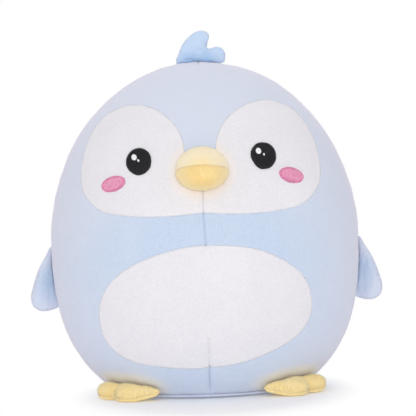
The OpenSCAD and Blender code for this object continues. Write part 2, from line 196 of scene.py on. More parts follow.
def seenDirectly(tree):
    # 1 where the camera, a mirror or glass sees the surface
    rays = put(tree, "ShaderNodeLightPath").outputs
    seen = maths(tree, "MAXIMUM", rays["Is Camera Ray"], rays["Is Glossy Ray"])
    return maths(tree, "MAXIMUM", seen, rays["Is Transmission Ray"])


def whereSeen(tree, seen, thrown):
    # one strength for what is seen directly, and one for the light that it throws
    return maths(tree, "ADD", maths(tree, "MULTIPLY", seenDirectly(tree), seen - thrown), thrown)


def newMaterial(name):
    material = bpy.data.materials.new(name)
    material.use_nodes = True
    material.node_tree.nodes.clear()
    return material, material.node_tree


def makeStudio():
    world = bpy.data.worlds.new("studio")
    bpy.context.scene.world = world
    world.use_nodes = True
    tree = world.node_tree
    tree.nodes.clear()
    back = result(tree, "ShaderNodeBackground",
                  {"Color": plainWhite, "Strength": whereSeen(tree, 1, lightLook["world"])})
    put(tree, "ShaderNodeOutputWorld", {"Surface": back})
    for name in ("key", "fill", "top"):
        makeLamp(name)


def floorPaper():
    # paper on a lit table, which turns into the white backdrop further off
    look, fade = lightLook, lightLook["fade"]
    material, tree = newMaterial("floorPaper")
    rough = maths(tree, "ADD", maths(tree, "MULTIPLY", noiseOver(tree, objectPlace(tree), 60.0), 0.1), 0.85)
    paper = result(tree, "ShaderNodeBsdfPrincipled",
                   {"Base Color": look["floor"], "Roughness": rough, "Specular IOR Level": 0.1})
    glow = result(tree, "ShaderNodeEmission",
                  {"Color": plainWhite, "Strength": whereSeen(tree, look["floorGlow"], look["bounce"])})
    lit = result(tree, "ShaderNodeAddShader", {0: paper, 1: glow})
    far = ramp(tree, awayFrom(tree, objectPlace(tree), fade["centre"], fade["size"]), fade["from"],
               fade["to"], kind="SMOOTHSTEP")
    backdrop = result(tree, "ShaderNodeEmission", {"Color": plainWhite, "Strength": 1.0})
    both = result(tree, "ShaderNodeMixShader",
                  {0: maths(tree, "MULTIPLY", far, seenDirectly(tree)), 1: lit, 2: backdrop})
    put(tree, "ShaderNodeOutputMaterial", {"Surface": both})
    return material


def makeFloor():
    mesh = newMesh("floor", [(-6, -4, 0), (6, -4, 0), (6, 8, 0), (-6, 8, 0)], [(0, 1, 2, 3)])
    mesh.materials.append(floorPaper())
    floor = addObject("floor", mesh)


makeCamera()
makeStudio()
makeFloor()
bpy.context.scene.view_settings.view_transform = "Standard"
print("studio ready")


# materials

def newTree(kind, name, inputs, outputs):
    # an empty node group; an input has the type of its value, or the type that is named where it has none
    tree = bpy.data.node_groups.new(name, kind)
    for label, value in inputs.items():
        typeName = value if isinstance(value, str) else {tuple: "Color", float: "Float",
                                                         int: "Int"}[type(value)]
        socket = tree.interface.new_socket(label, in_out="INPUT", socket_type="NodeSocket" + typeName)
        if typeName != value:
            socket.default_value = value
    for label, typeName in outputs.items():
        tree.interface.new_socket(label, in_out="OUTPUT", socket_type="NodeSocket" + typeName)
    return tree, tree.nodes.new("NodeGroupInput").outputs, tree.nodes.new("NodeGroupOutput")


def makePlushNap():
    # short pile: fine grain, small clumps, and brushed patches that lie another way
    tree, given, out = newTree("ShaderNodeTree", "plushNap", {
        "Base": (0.6, 0.7, 0.9, 1), "Shade": (0.5, 0.6, 0.8, 1), "Light": (0.8, 0.85, 1, 1),
        "Grain Size": 0.0009, "Patch Size": 0.035, "Contrast": 0.5},
        {"Color": "Color", "Height": "Float", "Roughness": "Float"})
    place = objectPlace(tree)
    fine = maths(tree, "DIVIDE", 1.0, given["Grain Size"])
    grain = noiseOver(tree, place, fine, 3.0, Roughness=0.65)
    clump = put(tree, "ShaderNodeTexVoronoi",
                {"Vector": place, "Scale": maths(tree, "MULTIPLY", fine, 0.55)}).outputs["Distance"]
    patch = noiseOver(tree, place, maths(tree, "DIVIDE", 1.0, given["Patch Size"]), Distortion=0.6)
    tuftiness = noiseOver(tree, place, maths(tree, "MULTIPLY", fine, 0.6))
    height = maths(tree, "SUBTRACT", grain, maths(tree, "MULTIPLY", clump, 0.5))
    dark = maths(tree, "MULTIPLY", ramp(tree, height, 0.35, -0.1), given["Contrast"])
    pale = maths(tree, "MULTIPLY", ramp(tree, patch, 0.45, 0.72), given["Contrast"])
    colour = mixColour(tree, pale, mixColour(tree, dark, given["Base"], given["Shade"]), given["Light"])
    tone = ramp(tree, tuftiness, 0.3, 0.7, 0.965, 1.03)
    toned = result(tree, "ShaderNodeVectorMath", {0: colour, "Scale": tone}, operation="SCALE")
    rough = maths(tree, "SUBTRACT", 0.97, maths(tree, "MULTIPLY", grain, 0.12))
    feed(tree, out, {"Color": toned, "Height": height, "Roughness": rough})
    return tree


def makeThreadTwist():
    # the ply of a thread, as fine slanting ridges with small differences in tone
    tree, given, out = newTree("ShaderNodeTree", "threadTwist", {
        "Base": (0.1, 0.1, 0.1, 1), "Shade": (0.05, 0.05, 0.05, 1), "Ply": 2600.0},
        {"Color": "Color", "Height": "Float"})
    place = objectPlace(tree)
    ridges = put(tree, "ShaderNodeTexWave",
                 {"Vector": place, "Scale": given["Ply"], "Distortion": 1.5, "Detail": 1.0},
                 bands_direction="DIAGONAL").outputs["Fac"]
    tone = ramp(tree, noiseOver(tree, place, 520.0), 0.38, 0.66)
    mixed = maths(tree, "MULTIPLY", maths(tree, "ADD", ridges, maths(tree, "MULTIPLY", tone, 1.4)), 0.4)
    feed(tree, out, {"Color": mixColour(tree, mixed, given["Base"], given["Shade"]), "Height": ridges})
    return tree


plushNap, threadTwist = makePlushNap(), makeThreadTwist()


def relief(tree, height, strength, depth):
    return result(tree, "ShaderNodeBump", {"Height": height, "Strength": strength, "Distance": depth})


def plainMaterial(name):
    material, tree = newMaterial(name)
    shader = tree.nodes.new("ShaderNodeBsdfPrincipled")
    put(tree, "ShaderNodeOutputMaterial", {"Surface": shader.outputs[0]})
    return material, tree, shader


def napOf(tree, base, shade, light, grain, patch, contrast):
    return put(tree, "ShaderNodeGroup", {"Base": tint(*base), "Shade": tint(*shade), "Light": tint(*light),
               "Grain Size": grain * mm, "Patch Size": patch * mm, "Contrast": contrast},
               node_tree=plushNap).outputs


def plushMaterial(name, base, shade, light, fuzz, grain=0.9, patch=35, contrast=0.5, sheen=0.55, soft=0.4,
                  bump=0.3, worn=None, lint=None):
    material, tree, shader = plainMaterial(name)
    nap = napOf(tree, base, shade, light, grain, patch, contrast)
    colour = nap["Color"]
    if worn:      # painted light and shade: the colour is deepest round one place, alike on all sides, and paler and greyer away from it, standing in for sheen towards edges and crown and for shade at the tuft's base
        place, near, far, grey = worn
        away = vectors(tree, "DISTANCE", vectors(tree, "ABSOLUTE", objectPlace(tree))[0], place)["Value"]
        paintedFadeShare = ramp(tree, away, near, far, kind="SMOOTHSTEP")
        colour = mixColour(tree, maths(tree, "MULTIPLY", paintedFadeShare, 0.7), colour, tint(*grey))
    if lint:      # painted bounce light: the neighbour's colour thrown onto this cloth near where they meet, alike on the left and right
        place, turn, size, share, bounceColour = lint
        at = put(tree, "ShaderNodeSeparateXYZ", {0: objectPlace(tree)}).outputs
        folded = result(tree, "ShaderNodeCombineXYZ",
                        {0: maths(tree, "ABSOLUTE", at[0]), 1: at[1], 2: at[2]})
        spun = result(tree, "ShaderNodeVectorRotate",
                      {"Vector": folded, "Center": place, "Angle": -math.radians(turn)},
                      rotation_type="Z_AXIS")
        near = ramp(tree, awayFrom(tree, spun, place, size), 1.25, 0.6, kind="SMOOTHSTEP")
        colour = mixColour(tree, maths(tree, "MULTIPLY", near, share), colour, tint(*bounceColour))
    feed(tree, shader, {"Base Color": colour, "Roughness": nap["Roughness"],
                        "Normal": relief(tree, nap["Height"], bump, 0.6 * mm),
                        "Specular IOR Level": 0.15, "Sheen Weight": sheen, "Sheen Roughness": soft,
                        "Sheen Tint": tint(*fuzz)})
    return material


def threadMaterial(name, base, shade, rough=0.55, sheen=0.15):
    material, tree, shader = plainMaterial(name)
    twist = put(tree, "ShaderNodeGroup", {"Base": tint(*base), "Shade": tint(*shade), "Ply": 2600.0},
                node_tree=threadTwist).outputs
    feed(tree, shader, {"Base Color": twist["Color"],
                        "Normal": relief(tree, twist["Height"], 0.3, 0.1 * mm),
                        "Roughness": rough, "Specular IOR Level": 0.3, "Sheen Weight": sheen})
    return material


beakFoot = (0, -0.097, (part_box("beak_lower")[0].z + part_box("beak_upper")[1].z) / 2)
fabric = {
    # painted light: paler and greyer away from the chest for sheen and top light, and a yellow tint above
    # the feet for light thrown up from them
    "blue": plushMaterial("bluePlush", (199, 213, 233), (187, 203, 226), (209, 217, 232), (246, 224, 232),
                          patch=60, contrast=0.6, sheen=0.5,
                          worn=((0, 0.1, 0.09), 0.05, 0.15, (218, 221, 233)),
                          lint=((0.065, -0.05, 0.01), 39, (0.036, 0.02, 0.0145), 0.6, (243, 234, 208))),
    # painted bounce light: a warm tint round the beak's root, for light thrown from the beak onto the white
    "white": plushMaterial("whitePlush", (231, 229, 233), (222, 220, 226), (236, 234, 237), (248, 244, 248),
                           contrast=0.45, sheen=0.3,
                           lint=(beakFoot, 0, (0.024, 0.024, 0.023), 0.55, (255, 236, 212))),
    # painted sheen: both beak halves turn paler towards their rims
    "paleYellow": plushMaterial("paleYellowPlush", (249, 227, 167), (248, 218, 150), (252, 236, 188),
                                (255, 246, 226), sheen=0.9, patch=12,
                                worn=((0, 0.13, 0.182), 0.004, 0.023, (248, 236, 212))),
    "yellow": plushMaterial("yellowPlush", (243, 212, 143), (240, 202, 124), (252, 228, 168),
                            (255, 242, 212), sheen=0.9, patch=12,
                            worn=((0, 0.13, 0.176), 0.009, 0.028, (251, 230, 182))),
    "foot": plushMaterial("footPlush", (255, 230, 164), (255, 215, 136), (255, 238, 190), (255, 240, 204),
                          grain=1.4, patch=14, sheen=1, soft=0.5, bump=0.5),
    # painted shade: deepest blue at the tuft's base, paler away from it for sheen at its edges
    "tuft": plushMaterial("tuftPlush", (174, 205, 239), (162, 196, 234), (186, 211, 241), (244, 230, 240),
                          patch=12, worn=((0.006, 0.003, 0.27), 0.001, 0.013, (208, 224, 244))),
    # painted sheen: paler away from the wing's root towards its edges
    "wing": plushMaterial("wingPlush", (189, 209, 231), (175, 198, 225), (204, 216, 236), (242, 226, 238),
                          patch=16, contrast=0.7,
                          worn=((0.127, 0, 0.092), 0.002, 0.022, (221, 223, 237))),
    # painted light: paler than the blue body cloth, to offset the shade where the strip sits under the body
    "base": plushMaterial("baseFabric", (208, 217, 235), (198, 209, 230), (214, 222, 236), (242, 234, 240),
                          bump=0.2),
}
threadLook = {     # the two colours of the thread, its roughness and its sheen
    # the eye's rim thread is lighter than its fill: a painted highlight on the raised border, with its lower
    # roughness giving real gloss
    "black": ((29, 28, 34), (12, 11, 15), 0.5, 0.0), "blackRim": ((40, 39, 46), (16, 15, 20), 0.3, 0.0),
    "pink": ((248, 180, 208), (226, 136, 176), 0.4, 0.2),
    "pinkRim": ((240, 158, 196), (214, 118, 164), 0.4, 0.2),
    "white": ((252, 252, 253), (236, 236, 242)), "blueSeam": ((184, 199, 226), (168, 186, 216)),
    # the hem thread is paler than the other blue seam thread, to offset the shade at the hem: painted light
    "hemSeam": ((224, 230, 243), (214, 222, 238)), "whiteSeam": ((232, 232, 239), (218, 219, 230)),
    "yellowSeam": ((226, 186, 112), (208, 164, 90)),
}
thread = {kind: threadMaterial(kind + "Thread", *look) for kind, look in threadLook.items()}


def fibreMaterial(name, colour):
    # single fibres of the pile, coloured paler than the cloth to make up for their darker shading: painted
    # light
    material, tree, shader = plainMaterial(name)
    tone = maths(tree, "MULTIPLY", noiseOver(tree, objectPlace(tree), 400.0), 0.5)
    feed(tree, shader, {"Base Color": mixColour(tree, tone, tint(*colour),
                                                tint(*(0.93 * c for c in colour))),
                        "Roughness": 0.9, "Specular IOR Level": 0.1, "Sheen Weight": 0.4})
    return material


# paler than the cloth under them, to make up for the fibres' darker shading: painted light
fibreLook = {
    "blue": (230, 237, 250), "white": (252, 251, 253), "paleYellow": (255, 244, 208),
    "yellow": (255, 238, 184), "foot": (255, 248, 212), "tuft": (220, 235, 252), "wing": (228, 235, 248),
}
fibre = {kind: fibreMaterial(kind + "Fibre", colour) for kind, colour in fibreLook.items()}
print("materials ready")


# the body's curve

lowBox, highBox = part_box("front_panel")
bodyShape = {
    "halfWidth": highBox.x, "halfDepth": -lowBox.y, "crown": highBox.z,
    "widest": 0.124, "baseWidth": 0.148, "power": 2.55,
    "hem": lowBox.z,            # lower edge of the side panels
    "step": 2.6 * mm,           # spacing of the points on the fabric
    "fabric": 1.8 * mm,
    "crease": 0.8 * mm,         # half width of the sharp fold at a seam
}
halfW, halfD, widest, power = (bodyShape[k] for k in ("halfWidth", "halfDepth", "widest", "power"))
rise = bodyShape["crown"] - widest
drop = widest / (1 - (bodyShape["baseWidth"] / 2 / halfW) ** power) ** (1 / power)
middle = np.array([0, 0, widest])


def shareAt(z):
    z = np.asarray(z, float)
    upper = np.sqrt(np.clip(1 - ((z - widest) / rise) ** 2, 0, 1))
    lower = np.clip(1 - np.clip((widest - z) / drop, 0, 1) ** power, 0, 1) ** (1 / power)
    return np.where(z >= widest, upper, lower)


def onFront(x, z):
    # the place on the body that is seen at (x, z) from straight ahead
    x, z = np.asarray(x, float), np.asarray(z, float)
    y = -halfD * np.sqrt(np.clip(shareAt(z) ** 2 - (x / halfW) ** 2, 0, None))
    return np.stack([x, y, z], -1)


def alongRay(d):
    # the place on the body that each direction from its middle meets
    flat = np.hypot(d[:, 0] / halfW, d[:, 1] / halfD)
    upper = 1 / np.sqrt(flat ** 2 + (d[:, 2] / rise) ** 2)
    lower = (flat ** power + (np.abs(d[:, 2]) / drop) ** power) ** (-1 / power)
    return middle + d * np.where(d[:, 2] >= 0, upper, lower)[:, None]


def outward(points):
    x, y, z = points.T
    share = np.hypot(x / halfW, y / halfD)
    above = z >= widest
    bend = np.where(above, 2.0, power * np.maximum(share, 1e-6) ** (power - 2))
    up = np.where(above, 2 * (z - widest) / rise ** 2,
                  -power * np.clip((widest - z) / drop, 0, None) ** (power - 1) / drop)
    n = np.stack([bend * x / halfW ** 2, bend * y / halfD ** 2, up], 1)
    return n / np.linalg.norm(n, axis=1)[:, None]


def toMap(points, facing):
    # the body seen from its middle, laid flat round the point straight ahead (1) or behind (-1)
    d = points - middle
    d = d / np.linalg.norm(d, axis=1)[:, None]
    ring = np.maximum(np.hypot(d[:, 0], d[:, 2]), 1e-9)
    angle = np.arccos(np.clip(-d[:, 1] * facing, -1, 1))
    return np.stack([angle * d[:, 0] / ring * facing, angle * d[:, 2] / ring], 1)


def fromMap(uv, facing):
    angle = np.hypot(uv[:, 0], uv[:, 1])
    s = np.sin(angle) / np.maximum(angle, 1e-9)
    return alongRay(np.stack([s * uv[:, 0] * facing, -np.cos(angle) * facing, s * uv[:, 1]], 1))


def smoothLine(corners, steps, closed=False):
    p = np.array(corners, float)
    n = len(p)
    line = []
    for i in range(n if closed else n - 1):
        a, b, c, d = (p[j % n] if closed else p[min(max(j, 0), n - 1)] for j in range(i - 1, i + 3))
        for t in np.arange(steps) / steps:
            line.append(0.5 * (2 * b + (c - a) * t + (2 * a - 5 * b + 4 * c - d) * t ** 2
                               + (3 * b - a - 3 * c + d) * t ** 3))
    return np.array(line if closed else line + [p[-1]])


def evenly(line, step):
    # the same line with its points at one spacing
    line = np.asarray(line, float)
    run = np.concatenate([[0], np.cumsum(np.linalg.norm(np.diff(line, axis=0), axis=1))])
    count = max(2, int(round(run[-1] / step)) + 1)
    at = np.linspace(0, run[-1], count)
    return np.stack([np.interp(at, run, line[:, k]) for k in range(line.shape[1])], 1)


# seams

faceOutline = [(0, 147.7), (30, 145.8), (58, 147.2), (80, 152.6), (93, 168), (94, 187), (88, 209),
               (75, 227), (53, 234.3), (33, 228.8), (19.5, 217), (13, 203), (11, 189), (0, 177)]
bellyOutline = {"size": (166.4, 95), "across": -1.2, "height": 74.1, "tilt": 4, "power": 2.15,
                # angle, by how much, over how many degrees
                "fuller": [(208, 4.4, 17), (346, 2.2, 12), (26, -1.7, 18), (100, 1.0, 20)]}
# how far each side's edge stands out, and its width
faceSides = {"left": (-1.0, 1.0), "right": (0.9, 1.008)}


def bellyEdge(angle):
    look = bellyOutline
    c = abs(math.cos(math.radians(angle - look["tilt"]))) / look["size"][0]
    s = abs(math.sin(math.radians(angle - look["tilt"]))) / look["size"][1]
    r = (c ** look["power"] + s ** look["power"]) ** (-1 / look["power"]) / 2
    r += sum(more * math.exp(-(((angle - at + 180) % 360 - 180) / span) ** 2)
             for at, more, span in look["fuller"])
    x, z = r * math.cos(math.radians(angle)), r * math.sin(math.radians(angle))
    return (look["across"] + x) * mm, (look["height"] + z) * mm


def frontLine(xz):
    xz = np.array(xz, float)
    return evenly(onFront(xz[:, 0], xz[:, 1]), bodyShape["step"] * 0.8)


def straightDown(top, low):
    return frontLine(np.linspace(top, low, 60))


faceHalf = smoothLine(faceOutline, 12) * mm
faceEdge = {}
for label, (out, wide) in faceSides.items():
    faceEdge[label] = faceHalf.copy()
    faceEdge[label][:, 0] = faceHalf[:, 0] * wide + out * mm * np.clip(faceHalf[:, 0] / (10 * mm), 0, 1)
hemShare = float(shareAt(bodyShape["hem"]))
hemTurn = np.radians(np.linspace(0, 180, 181))
hemLine = np.stack([hemShare * halfW * np.cos(hemTurn), -hemShare * halfD * np.sin(hemTurn),
                    np.full(181, bodyShape["hem"])], 1)
sideTurn = np.linspace(math.atan2(bodyShape["hem"] - widest, hemShare * halfW), math.pi / 2, 400)
sideLine = alongRay(np.stack([np.cos(sideTurn), np.zeros(400), np.sin(sideTurn)], 1))
backTurn = np.linspace(math.pi / 2, math.atan2(bodyShape["hem"] - widest, hemShare * halfD), 400)
backLine = alongRay(np.stack([np.zeros(400), np.cos(backTurn), np.sin(backTurn)], 1))
flip = np.array([-1, 1, 1])
bellyLine = frontLine([bellyEdge(90 + a) for a in range(0, 361, 3)])
crossings = [bellyLine[np.sign(bellyLine[:, 2] - 0.075) == up] for up in (1, -1)]
bellyTop, bellyFoot = (min(half, key=lambda q: abs(q[0]))[[0, 2]] for half in crossings)
seams = {
    "faceLeft": frontLine(faceEdge["left"]), "faceRight": frontLine(faceEdge["right"]) * flip,
    "belly": bellyLine,
    "nose": straightDown(faceHalf[-1], faceHalf[0]),
    "chest": straightDown(faceHalf[0], bellyTop),
    "under": straightDown(bellyFoot, (0, bodyShape["hem"])),
    "sideLeft": evenly(sideLine, bodyShape["step"]),
    "sideRight": evenly(sideLine, bodyShape["step"]) * flip,
    "hemFront": evenly(hemLine, bodyShape["step"]),
    "hemBack": evenly(hemLine, bodyShape["step"]) * np.array([1, -1, 1]),
    "spine": evenly(backLine, bodyShape["step"]),
    "dart": straightDown(bellyFoot, (0.6 * mm, 49.6 * mm)),
    "crownDart": straightDown((0, 270.3 * mm), (0, 266.2 * mm)),
}
print("seams laid out")


# body fabric: points between the seams, then the shape that stuffing gives it

meanRadius = 0.118      # from the middle of the body to its fabric
rowGap = 0.866          # between the rows of a triangle grid, for a step of 1


def inside(points, ring):
    x, y = points.T
    hit = np.zeros(len(points), bool)
    for (ax, ay), (bx, by) in zip(ring, np.roll(ring, -1, axis=0)):
        cross = (ay > y) != (by > y)
        if cross.any():
            hit ^= cross & (x < (bx - ax) * (y - ay) / (by - ay + 1e-30) + ax)
    return hit


def treeOf(points):
    tree = kdtree.KDTree(len(points))
    for i, p in enumerate(points):
        tree.insert(Vector(p) if len(p) == 3 else Vector((p[0], p[1], 0)), i)
    tree.balance()
    return tree


def clearOf(grid, tree, least):
    # the flat points that keep at least this far from the points in the tree
    return grid[[tree.find((q[0], q[1], 0))[2] > least for q in grid]]


def triangleGrid(cols, rows, step):
    return np.array([((i + 0.5 * (j % 2)) * step, j * step * rowGap) for j in rows for i in cols])


def weld(points, digits=7):
    # the first point at each place, and which place every point falls on
    _, first, number = np.unique(np.round(points, digits), axis=0, return_index=True, return_inverse=True)
    return first, number.reshape(-1)


def turnsOf(faces):
    # the three sides of every triangle, in the direction that it runs
    return np.vstack([faces[:, [0, 1]], faces[:, [1, 2]], faces[:, [2, 0]]])


def sidesOf(faces):
    # every side once
    return np.unique(np.sort(turnsOf(faces), axis=1), axis=0)


def neighbourMean(values, sides):
    a, b = sides.T
    total = np.bincount(a, values[b], len(values)) + np.bincount(b, values[a], len(values))
    return total / np.maximum(np.bincount(sides.reshape(-1), minlength=len(values)), 1)


def meshBetween(lines, facing, step, crease):
    # triangles over the half that faces ahead or behind, with every seam along their edges
    places, edges, known = [], [], {}
    for line in lines:
        row = []
        for p in line:
            key = tuple(np.round(p, 6))
            if key not in known:
                known[key] = len(places)
                places.append(p)
            row.append(known[key])
        edges += [(a, b) for a, b in zip(row, row[1:]) if a != b]
    flat = toMap(np.array(places), facing)
    gap, reach = step / meanRadius, math.pi / 2
    across, up = int(reach / gap), int(reach / gap / rowGap)
    grid = triangleGrid(range(-across, across + 1), range(-up, up + 1), gap)
    near = treeOf(flat)
    grid = clearOf(grid[np.hypot(*grid.T) < reach], near, 0.75 * gap)
    if crease:      # a row of points close to each side of a seam, where the fabric folds in
        fold = crease / meanRadius
        rows = []
        for line in lines:
            at = toMap(line, facing)
            way = np.gradient(at, axis=0)
            aside = np.stack([-way[:, 1], way[:, 0]], 1) / np.linalg.norm(way, axis=1)[:, None] * fold
            rows.append(clearOf(np.vstack([at + aside, at - aside]), near, 0.8 * fold))
        rows = np.vstack(rows)
        rows = rows[np.hypot(*rows.T) < reach - 0.5 * fold]
        crowd = treeOf(rows)
        first = [min(i for _, i, _ in crowd.find_range((q[0], q[1], 0), 0.6 * fold)) for q in rows]
        rows = rows[first == np.arange(len(rows))]
        grid = np.vstack([rows, grid])
    inner = fromMap(grid, facing)
    sound = inner[:, 2] > bodyShape["hem"] + 0.4 * bodyShape["step"]
    grid, given = grid[sound], np.vstack([places, inner[sound]])
    verts, _, faces, source, _, _ = delaunay_2d_cdt([Vector(p) for p in np.vstack([flat, grid])], edges, [],
                                                    0, 1e-7, True)
    flat = np.array([tuple(v) for v in verts])
    points = fromMap(flat, facing)
    for i, ids in enumerate(source):
        if ids:
            points[i] = given[ids[0]]
    return points, np.array([tuple(f) for f in faces]), flat


hemRing = {1: "hemFront", -1: "hemBack"}
frontSeams = ["faceLeft", "faceRight", "belly", "nose", "chest", "under", "dart", "crownDart", "sideLeft",
              "sideRight", "hemFront"]
backSeams = ["spine", "sideLeft", "sideRight", "hemBack"]


def halfSkin(facing, names, step, crease):
    lines = [evenly(seams[n], 0.8 * step) for n in names]
    points, faces, flat = meshBetween(lines, facing, step, crease)
    centre = flat[faces].mean(axis=1)
    rim = toMap(np.vstack([seams["sideLeft"], seams["sideRight"][::-1], seams[hemRing[facing]][::-1]]),
                facing)
    within = inside(centre, rim)
    return points, faces[within], centre[within]


def bodySkin(step, crease=None):
    # the whole sewn skin: its points, its triangles, and the number of the panel that each lies in
    ahead, frontFaces, frontCentre = halfSkin(1, frontSeams, step, crease)
    behind, backFaces, backCentre = halfSkin(-1, backSeams, step, crease)
    frontRegion = np.zeros(len(frontFaces), int)
    for number, names in ((1, ("faceLeft", "nose")), (2, ("faceRight", "nose")), (3, ("belly",))):
        ring = np.vstack([seams[name] for name in names])
        frontRegion[inside(frontCentre, toMap(ring, 1))] = number
    backRegion = np.where(backCentre[:, 0] < 0, 4, 5)      # the map behind is turned round
    points, faces = np.vstack([ahead, behind]), np.vstack([frontFaces, backFaces + len(ahead)])
    first, number = weld(points, 6)
    return points[first], number[faces], np.concatenate([frontRegion, backRegion])


skinPoints, skinFaces, allRegions = bodySkin(bodyShape["step"], bodyShape["crease"])
skinOut = outward(skinPoints)
print("body fabric", len(skinPoints), "points", len(skinFaces), "faces")

# cloth: a sewn skin blown up by its stuffing and drawn tighter along its seams

# worked out ten times as large
clothLook = {"scale": 10, "mass": 0.05, "pressure": 4, "stiff": 15, "bend": 0.5, "frames": 20}


def clothMove(points, faces, tight, held, shrink, spread, cap):
    # how each point moves as cloth, less the even part of it over some rings of neighbours: the size stays
    look, scene = clothLook, bpy.context.scene
    mesh = newMesh("cloth", points * look["scale"], faces)
    obj = addObject("cloth", mesh)
    for name, weights in (("tight", tight), ("held", held)):
        group = obj.vertex_groups.new(name=name)
        for i in np.where(weights > 0.02)[0]:
            group.add([int(i)], float(weights[i]), "REPLACE")
    modifier = obj.modifiers.new("cloth", "CLOTH")
    cloth = modifier.settings
    cloth.mass, cloth.bending_stiffness = look["mass"], look["bend"]
    cloth.tension_stiffness = cloth.compression_stiffness = look["stiff"]
    cloth.use_pressure, cloth.uniform_pressure_force = True, look["pressure"]
    cloth.vertex_group_mass, cloth.vertex_group_shrink, cloth.shrink_max = "held", "tight", shrink
    cloth.effector_weights.gravity = 0
    modifier.collision_settings.use_collision = False
    modifier.point_cache.frame_start, modifier.point_cache.frame_end = 1, look["frames"]
    for frameNumber in range(1, look["frames"] + 1):
        scene.frame_set(frameNumber)
    move = coordsOf(evaluated(obj).data) / look["scale"] - points
    bpy.data.objects.remove(obj)
    bpy.data.meshes.remove(mesh)
    scene.frame_set(1)
    even, sides = move.copy(), sidesOf(faces)
    for _ in range(spread):
        even = (even + np.stack([neighbourMean(even[:, k], sides) for k in range(3)], 1)) / 2
    move = move - even
    return move * np.minimum(1, cap / np.maximum(np.linalg.norm(move, axis=1), 1e-9))[:, None]


seamLook = {   # depth of the dip, its half width, height and length of the puckers, depth of the sharp fold
    "face": (0.08, 2.2, 0.24, 11, 0), "belly": (0.08, 2.4, 0.2, 12, 0), "nose": (0.5, 2.0, 0.12, 7, 0.5),
    "chest": (0.6, 2.4, 0.22, 8, 0.7), "under": (0.8, 3.0, 0.3, 9, 0.9), "side": (0.6, 4.5, 0.3, 14, 0.7),
    "hem": (0.0, 3.0, 0.3, 10, 0), "spine": (0.8, 4.5, 0.3, 13, 0.7), "dart": (0.4, 1.8, 0.1, 9, 0.8),
    "crownDart": (0.3, 1.6, 0.1, 9, 0.7),
}
creaseLook = [     # place, size, turn and depth of faint creases in front
    ((-28, 51), (7.5, 1.1), 4, 0.55), ((-26, 84), (5, 1.4), 8, 0.4), ((48, 65), (7, 4), -20, 0.6),
    ((-60, 62), (9, 3), 30, 0.4), ((22, 47), (10, 5), 60, 0.5), ((-14, 40), (5, 9), 10, 0.45),
]
seamKinds = {
    "face": ["faceLeft", "faceRight"], "belly": ["belly"], "nose": ["nose"], "chest": ["chest"],
    "under": ["under"], "side": ["sideLeft", "sideRight"], "hem": ["hemFront", "hemBack"],
    "spine": ["spine"], "dart": ["dart"], "crownDart": ["crownDart"],
}


def seamReach(points, kind):
    # distance of each point from the seams of one kind, and how far along them it lies
    line, run = [], []
    for name in seamKinds[kind]:
        dense = evenly(seams[name], 0.4 * mm)
        line.append(dense)
        run.append(np.arange(len(dense)) * 0.4 * mm)
    line, run = np.vstack(line), np.concatenate(run)
    tree = treeOf(line)
    found = [tree.find(Vector(p)) for p in points]
    return np.array([f[2] for f in found]), run[[f[1] for f in found]]


def wave(values, seed):
    return np.array([noise.noise(Vector((v, seed, 0.37))) for v in values])


def lumps(points, size, seed):
    return np.array([noise.noise(Vector((p[0] / size + seed, p[1] / size, p[2] / size))) for p in points])


bodyCloth = {"step": 5.2 * mm, "shrink": 0.06, "spread": 40, "cap": 1.6 * mm,
             "tight": {"face": 0.1, "belly": 0.1, "nose": 0.3, "chest": 0.4, "under": 0.8, "side": 0.6,
                       "hem": 1.0, "spine": 0.8}}


def bodyMove():
    # the body as cloth on a coarser skin, carried over to the fine one
    points, faces, _ = bodySkin(bodyCloth["step"])
    tight = np.zeros(len(points))
    for kind, share in bodyCloth["tight"].items():
        reach, _ = seamReach(points, kind)
        tight = np.maximum(tight, share * np.exp(-(reach / (3 * mm)) ** 2))
    held = (points[:, 2] < bodyShape["hem"] + 0.5 * mm).astype(float)
    move = clothMove(points, faces, tight, held, bodyCloth["shrink"], bodyCloth["spread"], bodyCloth["cap"])
    along = (move * outward(points)).sum(1)
    tree = treeOf(points)
    carried = np.zeros(len(skinPoints))
    for i, p in enumerate(skinPoints):
        found = tree.find_n(Vector(p), 4)
        weight = np.array([1 / (d + 0.3 * mm) ** 2 for _, _, d in found])
        carried[i] = (weight * along[[k for _, k, _ in found]]).sum() / weight.sum()
    return carried


skinDip = np.zeros(len(skinPoints))
skinLift = 0.55 * mm * lumps(skinPoints, 0.045, 3.1) + 0.16 * mm * lumps(skinPoints, 0.014, 8.4)
for kind, (depth, width, pucker, length, fold) in seamLook.items():
    reach, run = seamReach(skinPoints, kind)
    dip, sharp = np.exp(-(reach / (width * mm)) ** 2), np.exp(-(reach / (0.55 * bodyShape["crease"])) ** 2)
    skinDip = np.maximum(skinDip, depth * mm * dip + fold * mm * sharp)
    ripple = wave(run / (length * mm) * 2, len(kind) + 0.5) * np.exp(-reach / (8 * mm))
    ripple *= 1 - np.exp(-reach / (1.5 * mm))
    skinLift += 2.2 * pucker * mm * ripple
for (x, z), (long, wide), turn, depth in creaseLook:
    c, s = math.cos(math.radians(turn)), math.sin(math.radians(turn))
    dx, dz = skinPoints[:, 0] / mm - x, skinPoints[:, 2] / mm - z
    near = np.exp(-((dx * c + dz * s) / long) ** 2 - ((dz * c - dx * s) / wide) ** 2)
    skinLift -= depth * mm * near * (skinPoints[:, 1] < 0)
# the hem lies flat on the base panel
skinDip *= np.clip((skinPoints[:, 2] - bodyShape["hem"]) / (7 * mm), 0, 1)
print("seams dipped")
skinCloth = bodyMove()
print("body blown up as cloth, up to", round(float(np.abs(skinCloth).max() / mm), 2), "mm")
settled = skinPoints + skinOut * (skinLift - skinDip + skinCloth)[:, None]


